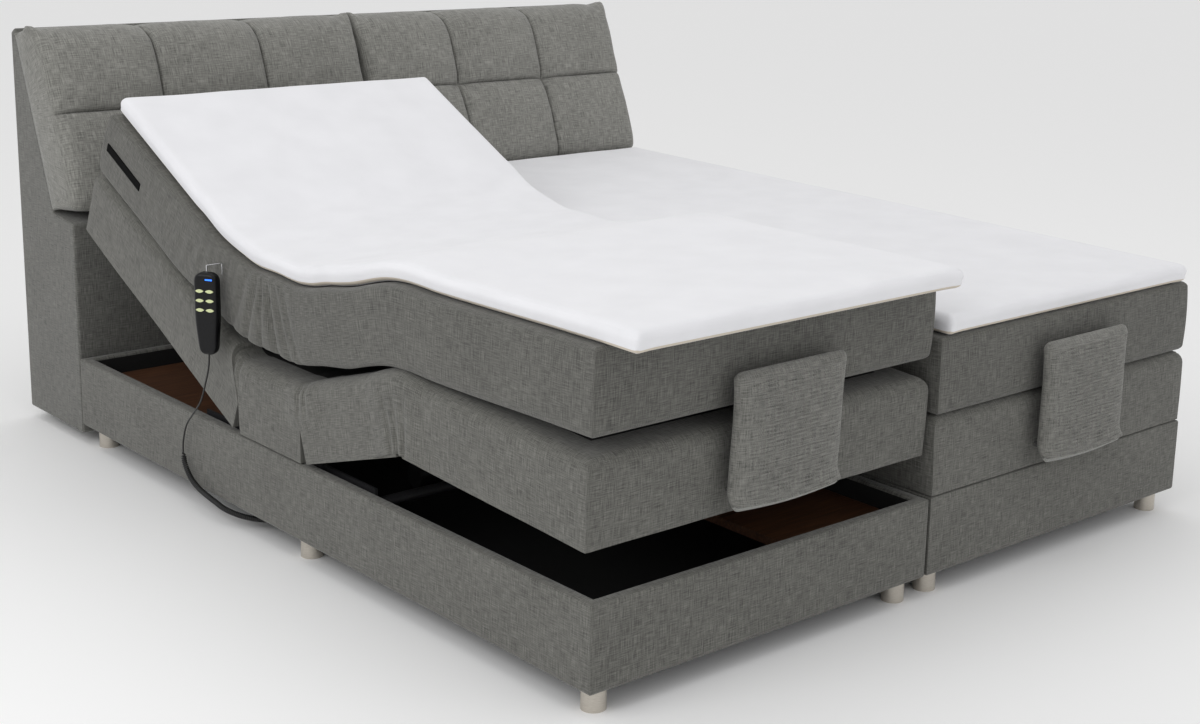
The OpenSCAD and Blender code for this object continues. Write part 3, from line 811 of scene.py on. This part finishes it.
# ---------------- upholstered sections
PAD_BOTTOM = 0.315
SKIRT = 0.022
GAP = 0.001
EDGE_R = 0.030
SECTION_CORNER = 16.0
# Linen border round the black lining painted on top as the shade in the gap under the mattress
PAINTED_SHADE_BORDER = 0.075
PAINTED_SHADE_X = UNIT_W / 2 - PAINTED_SHADE_BORDER
BACK_SLOPE, SEAT_BACK_SLOPE = 38.8, 12.0
THIGH_SLOPE, SEAT_THIGH_SLOPE = 22.8, 8.0
KNEE_SLOPE = 17.5
# Each end: y at hinge height, slope above it, slope below it in degrees; None has no hinge
SECTION_ENDS = {
    "leg": ((0.0, None, None), (KNEE_Y - GAP, 0.0, KNEE_SLOPE)),
    "thigh": ((KNEE_Y + GAP, 0.0, KNEE_SLOPE), (THIGH_Y - GAP, THIGH_SLOPE, 0.0)),
    "seat": ((THIGH_Y + GAP, SEAT_THIGH_SLOPE, 0.0), (BACK_Y - GAP, SEAT_BACK_SLOPE, 0.0)),
    "back": ((BACK_Y + GAP, BACK_SLOPE, 0.0), (BASE_LEN, None, None)),
}
PLACE = {"leg": on_leg, "thigh": on_thigh, "seat": lambda p, side: p, "back": on_back}


def end_line(end, way, z):
    if end[1] is None:
        return np.full(len(z), end[0])
    above = np.clip(z - HINGE_Z, 0, None) * math.tan(math.radians(end[1]))
    below = np.clip(HINGE_Z - z, 0, None) * math.tan(math.radians(end[2]))
    return end[0] + way * (above + below)


def section_cover(side, part):
    start, stop = SECTION_ENDS[part]
    free = (start[1] is None, stop[1] is None)
    y0, y1 = start[0], stop[0]
    low, high = (-UNIT_W / 2, y0, BASE_BOTTOM), (UNIT_W / 2, y1, BASE_TOP)
    opened = [(2, 0)] + ([] if free[0] else [(1, 0)]) + ([] if free[1] else [(1, 1)])
    p, faces, uvs = lattice(grid_lines(low[0], high[0], 0.028, EDGE_R, at=(-PAINTED_SHADE_X, PAINTED_SHADE_X)),
                            grid_lines(y0, y1, 0.014, EDGE_R, free),
                            grid_lines(low[2], high[2], 0.014, EDGE_R, (False, True), at=(HINGE_Z,)), opened)
    flat = p.copy()
    outer = soften(p, low, high, EDGE_R, SECTION_CORNER, ends_kept(free, underside=True))
    share = (outer[:, 1] - y0) / (y1 - y0)
    first, last = end_line(start, 1, outer[:, 2]), end_line(stop, -1, outer[:, 2])
    outer[:, 1] = first + share * (last - first)
    on_side = np.abs(flat[:, 0]) > UNIT_W / 2 - TINY
    height = np.clip((flat[:, 2] - BASE_BOTTOM) / (BASE_TOP - BASE_BOTTOM), 0, 1)
    slack = 0.0016 * wavy(flat, 0.28, 31) - 0.0022 * (1 - height) ** 2
    outer[:, 0] += np.sign(flat[:, 0]) * on_side * slack
    for face_y, way in free_faces(free, y0, y1):
        outer[:, 1] += way * (np.abs(flat[:, 1] - face_y) < TINY) * 0.002 * (wavy(flat, 0.25, 33) - 0.8)
    inner = flat.copy()
    inner[:, 0] = np.clip(inner[:, 0], SKIRT - UNIT_W / 2, UNIT_W / 2 - SKIRT)
    inner[:, 2] = np.minimum(inner[:, 2], PAD_BOTTOM)
    share = (flat[:, 1] - y0) / (y1 - y0)
    first, last = end_line(start, 1, inner[:, 2]), end_line(stop, -1, inner[:, 2])
    first, last = first + (SKIRT if free[0] else 0), last - (SKIRT if free[1] else 0)
    inner[:, 1] = first + share * (last - first)
    points, faces, uvs, tags = thick(outer, faces, uvs, inner)
    made = new_piece(f"{side}_{part}_cover", PLACE[part](points, side), faces, uvs, MAT["base"])

    # Black lining on the inner faces; on top, inside a linen border, black lining painted as the shade in the gap
    # under the mattress
    def lined(face):
        if tags[face.index] != OUTSIDE:
            return tags[face.index] == INSIDE
        spots = flat[list(face.vertices)]
        return (spots[:, 2].min() > BASE_TOP - TINY and np.abs(spots[:, 0]).max() < PAINTED_SHADE_X + TINY
                and not (free[0] and spots[:, 1].min() < y0 + PAINTED_SHADE_BORDER)
                and not (free[1] and spots[:, 1].max() > y1 - PAINTED_SHADE_BORDER))

    recolour(made, "lining", lined)
    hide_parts("seat_sections" if part == "seat" else f"{side}_{part}_section")
    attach(made, body(side, part if part != "seat" else "root"))


# Soft joints between sections: hinge, fixed and moving body, zone from the hinge, underside, and
# the way along y from the fixed to the moving side
BRIDGES = {
    "back": (BACK_Y, ("root", "back"), (-0.030, 0.095), 0.297, 1),
    "thigh": (THIGH_Y, ("root", "thigh"), (0.028, -0.070), 0.297, -1),
    "knee": (KNEE_Y, ("thigh", "leg"), (0.062, -0.062), 0.230, -1),
}
NEAR_ZONES = {"back": (-0.026, 0.060), "thigh": (0.026, -0.050), "knee": (0.062, -0.062)}
# The joints are hollow below this height between their sides
HOLLOW_Z = PAD_BOTTOM + 0.012
# How far a joint lies inside the outline of its sections
JOINT_INSET = 0.0014


def bridge(side, name):
    """The soft upholstery that closes the wedge between two sections, bent to their stored pose."""
    hinge_y, (a, b), flat_zone, bottom, way = BRIDGES[name]
    zone = NEAR_ZONES[name] if side == NEAR else flat_zone
    tuck, proud = (0.030, 0.0) if name == "back" else (0.055, 0.0048)
    y0, y1 = hinge_y + min(flat_zone) - tuck, hinge_y + max(flat_zone) + tuck
    half = UNIT_W / 2 - JOINT_INSET
    low, high = (-half, y0, bottom), (half, y1, BASE_TOP - JOINT_INSET)
    p, faces, uvs = lattice(grid_lines(low[0], high[0], 0.03, EDGE_R, at=(-PAINTED_SHADE_X, PAINTED_SHADE_X)),
                            grid_lines(y0, y1, 0.005),
                            grid_lines(low[2], high[2], 0.010, EDGE_R, (False, True)))
    flat = p.copy()
    p = soften(p, low, high, EDGE_R, keep=ends_kept((False, False), underside=True))
    core = np.abs(flat[:, 0]) < half - EDGE_R + TINY
    share = (high[2] - p[core, 2]) / (high[2] - bottom)
    p[core, 2] = high[2] - share * (high[2] - HOLLOW_Z)
    on_side = np.abs(flat[:, 0]) > half - TINY
    from_end = np.minimum(flat[:, 1] - y0, y1 - flat[:, 1])
    inside = smooth_step((from_end - tuck * 0.6) / 0.02)
    rise = (flat[:, 2] - bottom) / (BASE_TOP - bottom)
    cover = smooth_step(from_end / (tuck + 0.020))
    if name == "thigh":
        cover = cover * smooth_step((flat[:, 2] - bottom) / 0.03)
    p[:, 0] += np.sign(flat[:, 0]) * proud * cover * (np.abs(p[:, 0]) > half - EDGE_R)
    p[:, 2] += proud * cover * (p[:, 2] > BASE_TOP - EDGE_R)
    if name == "knee":
        pucker = sum(bump(flat[:, 1], hinge_y + y, 0.007) for y in (-0.03, 0.0, 0.026))
        dents = 0.008 * (1 - rise) ** 1.5 * pucker
    else:
        dents = 0.006 * rise * sum(bump(flat[:, 1], hinge_y + way * y, 0.008) for y in (0.005, 0.040))
    p[:, 0] -= np.sign(flat[:, 0]) * on_side * inside * dents
    where = (hinge_y + zone[0], hinge_y + zone[1])
    if name == "knee":
        on = on_thigh(np.array([[0, y, HINGE_Z] for y in where]), side)
        where = (on[0, 1], on[1, 1])
    placed = bend(p, side, b, where)
    made = new_piece(f"{side}_{name}_joint", placed, faces, uvs, MAT["base"])

    # Painted shade: black lining on the top between the linen borders, for the gap under the mattress
    def painted_shade_on_deck(face):
        spots = flat[list(face.vertices)]
        return spots[:, 2].min() > high[2] - TINY and np.abs(spots[:, 0]).max() < PAINTED_SHADE_X + TINY

    recolour(made, "lining", painted_shade_on_deck)
    body(side, a)
    body(side, b)
    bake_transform(made)


def outline_plate(outline, x0, x1):
    """A flat plate cut to an outline in y and z, as points and faces."""
    n = len(outline)
    points = [(x, y, z) for x in (x0, x1) for y, z in outline]
    faces = [list(reversed(range(n))), list(range(n, 2 * n))]
    faces += [[i, (i + 1) % n, n + (i + 1) % n, n + i] for i in range(n)]
    return points, faces


LUG_R = 0.017
LUG_REACH = 0.120
LUG_NECK = 0.032
# Inner and outer faces of the lugs and knee plates, from the middle of a unit
LUG_X, PLATE_X = (0.408, 0.418), (0.400, 0.406)
# The hinges that carry each moving section: hinge y, the way its lug runs, faces
LUGS = {
    "back": [(BACK_Y, 1, LUG_X)],
    "thigh": [(THIGH_Y, -1, LUG_X), (KNEE_Y, 1, PLATE_X)],
    "leg": [(KNEE_Y, -1, LUG_X)],
}


def lug_outline(y, way):
    """A hinge lug: round at the hinge, running back under its section's pad."""
    turn = [math.radians(a) for a in range(90, 256, 15)]
    ring = [(y + way * LUG_R * math.cos(a), HINGE_Z + LUG_R * math.sin(a)) for a in turn]
    low, shoulder, high = HINGE_Z - 0.012, HINGE_Z + 0.015, PAD_BOTTOM + 0.002
    return ring + [(y, low), (y + way * LUG_REACH, low), (y + way * LUG_REACH, high),
                   (y + way * LUG_NECK, high), (y + way * LUG_NECK, shoulder), (y + way * 0.004, shoulder)]


def hinge_plates(side, part):
    """The steel lugs and knee plates that carry a moving section."""
    points, faces = [], []
    for y, way, (inner, outer) in LUGS[part]:
        for sign in (-1, 1):
            outline = lug_outline(y, way)
            if (way > 0) == (sign > 0):
                outline = outline[::-1]
            some, made = outline_plate(outline, sign * inner, sign * outer)
            faces += [[i + len(points) for i in f] for f in made]
            points += some
    obj = new_piece(f"{side}_{part}_hinge_plates", PLACE[part](np.array(points), side), faces,
                    material=MAT["steel"])
    obj.data.polygons.foreach_set("use_smooth", [False] * len(obj.data.polygons))
    face_outwards(obj)
    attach(obj, body(side, part))


for side in units():
    lower_box(side)
    for part in SECTION_ENDS:
        section_cover(side, part)
    for name in BRIDGES:
        bridge(side, name)
    for part in LUGS:
        hinge_plates(side, part)


# ---------------- headboard
def box_uv(obj):
    """UVs in metres, taken from the side each face looks to."""
    mesh = obj.data
    layer = mesh.uv_layers.new(name="weave")
    for face in mesh.polygons:
        n = [abs(c) for c in face.normal]
        axes = ((1, 2), (0, 2), (0, 1))[n.index(max(n))]
        for loop in face.loop_indices:
            co = mesh.vertices[mesh.loops[loop].vertex_index].co
            layer.data[loop].uv = (co[axes[0]], co[axes[1]])


def rounded_prism(name, outline, x0, x1, radius, mat):
    """A closed prism along x with rounded edges."""
    points, faces = outline_plate(outline, x0, x1)
    made = new_piece(name, points, faces, material=mat)
    face_outwards(made)
    bevel = made.modifiers.new("round", "BEVEL")
    bevel.width = radius
    bevel.segments = 4
    bevel.limit_method = "ANGLE"
    bevel.angle_limit = math.radians(20)
    freeze(made)
    box_uv(made)
    return made


HEAD_HALF = (head_high.x - head_low.x) / 2
HEAD_FRONT = head_low.y - ORIGIN.y
HEAD_BACK = head_high.y - ORIGIN.y
FRAME_TOP = head_high.z
LEDGE_Z = 0.562
LEAN = (2.112, 0.572)

frame_outline = [(HEAD_FRONT, head_low.z), (HEAD_BACK, head_low.z), (HEAD_BACK, FRAME_TOP - 0.012),
                 (HEAD_BACK - 0.020, FRAME_TOP), LEAN, (HEAD_FRONT, LEDGE_Z)]
head_frame = rounded_prism("headboard_frame_cover", frame_outline, -HEAD_HALF, HEAD_HALF, 0.006,
                           MAT["head_frame"])
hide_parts("headboard_frame")
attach(head_frame, "root")

# The cushion's side outline, walked from the bottom fold up the front and over the top
CUSHION_FRONT = np.array([(2.090, 0.577), (2.050, 0.578), (2.012, 0.581), (1.994, 0.598), (1.999, 0.642),
                          (2.030, 0.728), (2.066, 0.815), (2.098, 0.893), (2.126, 0.958), (2.146, 0.990),
                          (2.176, 1.008), (2.212, 1.018), (2.250, 1.019), (2.276, 1.013)])
CUSHION_BACK = np.array([(2.112, 0.578), (2.118, 0.590), (2.127, 0.611), (2.137, 0.636), (2.150, 0.668),
                         (2.167, 0.712), (2.187, 0.760), (2.205, 0.806), (2.222, 0.848), (2.237, 0.884),
                         (2.251, 0.919), (2.263, 0.950), (2.274, 0.978), (2.282, 1.000)])
# Seams as shares of the cushion's width and height, and where its puffed part starts and ends
TUFT_COLUMNS = (1 / 3, 2 / 3)
TUFT_ROW = 0.52
PUFF_LOW, PUFF_HIGH = 0.10, 0.93
LINE_POINTS = 64
LAYERS = 7
WEAVE_U = 0.9
WELD = 0.00005
SEAM_STEPS = np.array([-0.014, -0.010, -0.007, -0.004, -0.002, 0.0, 0.002, 0.004, 0.007, 0.010, 0.014])


def spread(count, seams, scale=1.0):
    """Positions from 0 to 1, closer together beside the seams."""
    even = [t for t in np.linspace(0, 1, count) if all(abs(t - s) > 0.0155 * scale for s in seams)]
    return np.array(sorted(even + [s + d * scale for s in seams for d in SEAM_STEPS]))


def resample(line, count):
    steps = np.concatenate([[0], np.cumsum(np.linalg.norm(np.diff(line, axis=0), axis=1))])
    wanted = np.linspace(0, steps[-1], count)
    return np.stack([np.interp(wanted, steps, line[:, k]) for k in (0, 1)], 1), steps[-1]


def puffed(t, low, high):
    """1 in the middle between two seams, falling to 0 at each."""
    return np.maximum(1 - np.abs(2 * (t - low) / (high - low) - 1) ** 3.2, 0)


def head_cushion(side):
    """A tufted back cushion: three columns and two rows, puffed between its seams."""
    inner, outer = (UNIT_X - UNIT_W / 2 + 0.0005, HEAD_HALF)
    x0, x1 = (-outer, -inner) if side == NEAR else (inner, outer)
    us, vs = spread(110, TUFT_COLUMNS), spread(LINE_POINTS, (TUFT_ROW,), 1.6)
    columns = len(us)
    even, length = resample(CUSHION_FRONT, LINE_POINTS)
    for _ in range(3):
        even[1:-1] = (even[:-2] + 2 * even[1:-1] + even[2:]) / 4
    back_even = resample(CUSHION_BACK, LINE_POINTS)[0]
    at = np.linspace(0, 1, LINE_POINTS)
    front = np.stack([np.interp(vs, at, even[:, k]) for k in (0, 1)], 1)
    back = np.stack([np.interp(vs, at, back_even[:, k]) for k in (0, 1)], 1)
    tangent = np.gradient(front, vs, axis=0)
    tangent /= np.linalg.norm(tangent, axis=1)[:, None]
    normal = np.stack([-tangent[:, 1], tangent[:, 0]], 1)
    u, v = np.meshgrid(us, vs)
    lines_u = np.array([0.0, *TUFT_COLUMNS, 1.0])
    puff = np.zeros_like(u)
    for a, b in zip(lines_u, lines_u[1:]):
        inside = (u >= a) & (u <= b)
        across = puffed(u, a, b)
        for c, d in ((PUFF_LOW, TUFT_ROW), (TUFT_ROW, PUFF_HIGH)):
            rows_in = (v >= c) & (v <= d)
            puff = np.where(inside & rows_in, across ** 0.55 * puffed(v, c, d) ** 0.55, puff)
        ends = inside & ((v < PUFF_LOW) | (v > PUFF_HIGH))
        puff = np.where(ends, 0.35 * across ** 0.55, puff)
    seam = np.maximum(sum(bump(u, c, 0.0034) for c in TUFT_COLUMNS), bump(v, TUFT_ROW, 0.0062))
    tuft = sum(np.exp(-(((u - c) * (x1 - x0)) ** 2 + ((v - TUFT_ROW) * length) ** 2) / 0.030 ** 2)
               for c in TUFT_COLUMNS)
    creases = 0
    for c in (0.0, *TUFT_COLUMNS, 1.0):
        du, dv = (u - c) * (x1 - x0), (v - TUFT_ROW) * length
        reach = np.sqrt(du ** 2 + dv ** 2)
        creases = creases + 0.0022 * np.cos(6 * np.arctan2(dv, du)) * np.exp(-((reach - 0.05) / 0.035) ** 2)
    flat3 = np.stack([u.ravel() * WEAVE_U, v.ravel() * length, np.zeros(u.size)], 1)
    uneven = 0.0018 * wavy(flat3 + (0, 0, 0 if side == NEAR else 0.7), 0.14, 41).reshape(u.shape)
    out = 0.024 * puff - 0.012 - 0.0055 * seam - 0.010 * tuft + creases + uneven
    tall = np.minimum(u, 1 - u) * (x1 - x0)
    edge_in = np.clip(1 - tall / 0.035, 0, 1)
    out = out - 0.007 * edge_in ** 3 * smooth_step((v - 0.02) / 0.05) * (1 - bump(v, 0.84, 0.06))
    ear = edge_in ** 1.6 * bump(v, 0.87, 0.055)
    out = out + 0.010 * ear
    y = front[:, 0][:, None] + normal[:, 0][:, None] * out
    z = front[:, 1][:, None] + normal[:, 1][:, None] * out + ear * 0.016
    x = x0 + u * (x1 - x0)
    pull = 0.004 * np.sin(np.clip((v - 0.05) / 0.80, 0, 1) * math.pi) * (1 - 2 * u) * np.abs(1 - 2 * u) ** 3
    outer_half = (u < 0.5) if side == NEAR else (u > 0.5)
    x = x + pull - 0.006 * ear * np.sign(0.5 - u) * outer_half
    grid = np.stack([x, y, z], 2)
    back_grid = np.stack([x0 + u * (x1 - x0), np.repeat(back[:, :1], columns, 1),
                          np.repeat(back[:, 1:], columns, 1)], 2)
    sheets = []
    for k in range(LAYERS):
        t = k / (LAYERS - 1)
        mix = grid * (1 - t) + back_grid * t
        swell = 0.010 * math.sin(math.pi * t)
        mix[:, :, 0] += swell * np.sign(u - 0.5) * (np.abs(2 * u - 1) > 0.999) * 0.4
        sheets.append(mix)
    points, faces, uvs = [], [], []

    def add(block, wrap_uv):
        start = len(points)
        n, m = block.shape[:2]
        points.extend(block.reshape(-1, 3).tolist())
        for i in range(n - 1):
            for j in range(m - 1):
                ring = [(i, j), (i, j + 1), (i + 1, j + 1), (i + 1, j)]
                faces.append([start + a * m + b for a, b in ring])
                uvs.extend([wrap_uv(a, b) for a, b in ring])

    step = 0.016
    add(sheets[0], lambda a, b: (us[b] * WEAVE_U, vs[a] * length))
    add(sheets[-1][:, ::-1], lambda a, b: (us[b] * WEAVE_U, vs[a] * length))
    add(np.stack([s[:, 0] for s in sheets], 1)[:, ::-1], lambda a, b: (2 + b * step, vs[a] * length))
    add(np.stack([s[:, -1] for s in sheets], 1), lambda a, b: (3 + b * step, vs[a] * length))
    add(np.stack([s[0] for s in sheets], 0)[::-1], lambda a, b: (us[b] * WEAVE_U, 2 + a * step))
    add(np.stack([s[-1] for s in sheets], 0), lambda a, b: (us[b] * WEAVE_U, 3 + a * step))
    made = new_piece(f"headboard_cushion_{side}_puffed", points, faces, uvs, MAT["head"])
    face_outwards(made, WELD)
    made.data.polygons.foreach_set("use_smooth", [True] * len(made.data.polygons))
    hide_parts(f"headboard_cushion_{side}")
    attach(made, "root")


for side in SIDE_SIGN:
    head_cushion(side)


# ---------------- mattress retainers
PAD_HALF = 0.1425
PAD_BACK, PAD_FRONT = -0.022, -0.060
PAD_LOW, PAD_TOP = 0.245, 0.515
PAD_EDGE, PAD_R, PAD_CORNER = 0.017, 0.0185, 2.4
RIB_DEPTH, RIB_STEP = 0.0015, 0.0080
HEM_UP = 0.012


def retainer(side):
    """A stuffed, ribbed pad over the steel bow, curling out at its lower edge."""
    low, high = (-PAD_HALF, PAD_FRONT, PAD_LOW), (PAD_HALF, PAD_BACK, PAD_TOP)
    p, faces, uvs = quad_box(low, high, (0.006, 0.004, 0.0018), PAD_EDGE)
    flat = p.copy()
    p = soften(p, low, high, PAD_R, PAD_CORNER)
    across = 1 - (flat[:, 0] / PAD_HALF) ** 4
    rise = (flat[:, 2] - PAD_LOW) / (PAD_TOP - PAD_LOW)
    along = 1 - np.abs(2 * rise - 1) ** 4
    front = smooth_step((PAD_BACK - flat[:, 1]) / (PAD_BACK - PAD_FRONT))
    p[:, 1] += front * (0.011 * (1 - across * along))
    rib = RIB_DEPTH * np.sin(flat[:, 2] * 2 * math.pi / RIB_STEP + 0.8 * wavy(flat, 0.10, 51))
    p[:, 1] -= front * rib * across
    p[:, 0] += 0.004 * np.sign(flat[:, 0]) * (np.abs(flat[:, 0]) / PAD_HALF) ** 3 * (1 - 2 * along) * 0.6
    p[:, 0] += 0.003 * wavy(flat, 0.21, 53)
    curl = smooth_step((0.20 - rise) / 0.20)
    p[:, 1] -= 0.016 * curl * curl
    p[:, 2] -= 0.009 * curl * np.cos(flat[:, 0] / PAD_HALF * 1.5) - 0.006 * curl
    hem = smooth_step((0.045 - rise) / 0.02)
    p[:, 1] += hem * front * 0.006
    made = new_piece(f"{side}_retainer_cushion", on_leg(p, side), faces, uvs, MAT["retainer"])
    recolour(made, "hem", lambda face: flat[list(face.vertices), 2].max() < PAD_LOW + HEM_UP)
    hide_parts(f"{side}_retainer_pad")
    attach(made, f"{side}_leg")


for side in units():
    retainer(side)


# ---------------- handset
HAND = (-0.935, 1.275, 0.493)
HAND_TURN = math.radians(-55)
HAND_W, HAND_H, HAND_T = 0.056, 0.185, 0.026
HAND_R = 0.010


def at_hand(p):
    """Points in the handset's own plane brought to where it hangs."""
    x, y, z = p[:, 0], p[:, 1], p[:, 2]
    c, s = math.cos(HAND_TURN), math.sin(HAND_TURN)
    return np.stack([HAND[0] + x * c + z * s, HAND[1] + x * s - z * c, HAND[2] + y], 1)


def handset_shell():
    low, high = (-HAND_W / 2, -HAND_H / 2, -HAND_T / 2), (HAND_W / 2, HAND_H / 2, HAND_T / 2)
    p, faces, uvs = quad_box(low, high, (0.003, 0.003, 0.003), HAND_R)
    q = soften(p, low, high, HAND_R)
    t = (q[:, 1] - low[1]) / HAND_H
    cap = np.clip((np.abs(2 * t - 1) - 0.74) / 0.26, 0, 1)
    waist = 1 - 0.22 * smooth_step((0.55 - t) / 0.55)
    q[:, 0] *= waist * (0.30 + 0.70 * np.sqrt(np.maximum(1 - cap ** 2.4, 0)))
    q[:, 2] -= 0.004 * smooth_step((0.38 - t) / 0.38) * (q[:, 2] > 0)
    made = new_piece("handset_shell", at_hand(q), faces, uvs, MAT["gloss"])
    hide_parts("handset_case")
    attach(made, "root")


handset_shell()


# ---------------- grip straps on the mattress sides
STRAP_Y, STRAP_Z = (1.785, 1.955), (0.472, 0.492)
STRAP_PROUD, STRAP_T = 0.0035, 0.008
STRAP_R = 0.001


def grip_strap(side):
    outer_x = SIDE_SIGN[side] * (MATTRESS_W / 2 + STRAP_PROUD)
    x0, x1 = sorted((outer_x, outer_x - SIDE_SIGN[side] * STRAP_T))
    p, faces, uvs = lattice(grid_lines(x0, x1, 0.004, STRAP_R), grid_lines(*STRAP_Y, 0.008, 0.002),
                            grid_lines(*STRAP_Z, 0.004, STRAP_R))
    p = soften(p, (x0, STRAP_Y[0], STRAP_Z[0]), (x1, STRAP_Y[1], STRAP_Z[1]), STRAP_R)
    grip = new_piece(f"{side}_mattress_grip", lay_soft(p, side, "back"), faces, uvs, MAT["strap"])
    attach(grip, f"{side}_back")


for side in units():
    grip_strap(side)


# ---------------- finishes of the CAD parts
FINISH = {
    "seat_frames": "steel", "control_boxes": "plastic", "back_motors": "plastic", "foot_motors": "plastic",
    "box_boards": "wood", "feet": "foot", "handset_light": "light", "handset_hook": "rod",
    "cable_gland": "plastic",
}
for side in SIDE_SIGN:
    for kind, look in (("back_lift", "steel"), ("foot_lift", "steel"), ("back_rod", "rod"),
                       ("foot_rod", "rod"), ("retainer_bow", "rod")):
        FINISH[f"{side}_{kind}"] = look
for node_name in frame["nodes"]:
    if node_name.startswith("key_"):
        FINISH[node_name] = "key"
for node_name, look in FINISH.items():
    node = frame["nodes"][node_name]
    node.data.materials.clear()
    node.data.materials.append(MAT[look])

# ---------------- floor and light
FLOOR_HALF = 40
FLOOR_TONE = 0.93
WORLD_STRENGTH = 0.80


def add_floor():
    corners = [(x * FLOOR_HALF, y * FLOOR_HALF, 0) for x, y in ((-1, -1), (1, -1), (1, 1), (-1, 1))]
    mesh = bpy.data.meshes.new("floor")
    mesh.from_pydata(corners, [], [(0, 1, 2, 3)])
    floor = add_object("floor", mesh)
    made, _, shader = material("pale_floor", rough=0.9, colour=(FLOOR_TONE,) * 3)
    shader.inputs["Specular IOR Level"].default_value = 0.1
    mesh.materials.append(made)


def add_area(name, place, target, size, power):
    data = bpy.data.lights.new(name, "AREA")
    data.shape = "RECTANGLE"
    data.size, data.size_y = size
    data.energy = power
    light = add_object(name, data)
    light.location = row(place)
    direction = row(target) - row(place)
    light.rotation_mode = "QUATERNION"
    light.rotation_quaternion = direction.to_track_quat("-Z", "Y")


add_floor()
bpy.context.scene.view_settings.view_transform = "Standard"
world = bpy.data.worlds.new("studio")
bpy.context.scene.world = world
world.use_nodes = True
background = world.node_tree.nodes["Background"].inputs
background["Color"].default_value = (1, 1, 1, 1)
background["Strength"].default_value = WORLD_STRENGTH
add_area("key", place=(-4.0, 0.2, 2.8), target=(0.0, 1.0, 0.4), size=(2.6, 2.2), power=42)
add_area("foot_fill", place=(0.6, -4.2, 2.2), target=(0.4, 0.4, 0.4), size=(3.0, 2.0), power=12)
add_area("top", place=(0.0, 1.0, 4.0), target=(0.0, 1.0, 0.5), size=(4.0, 4.0), power=14)
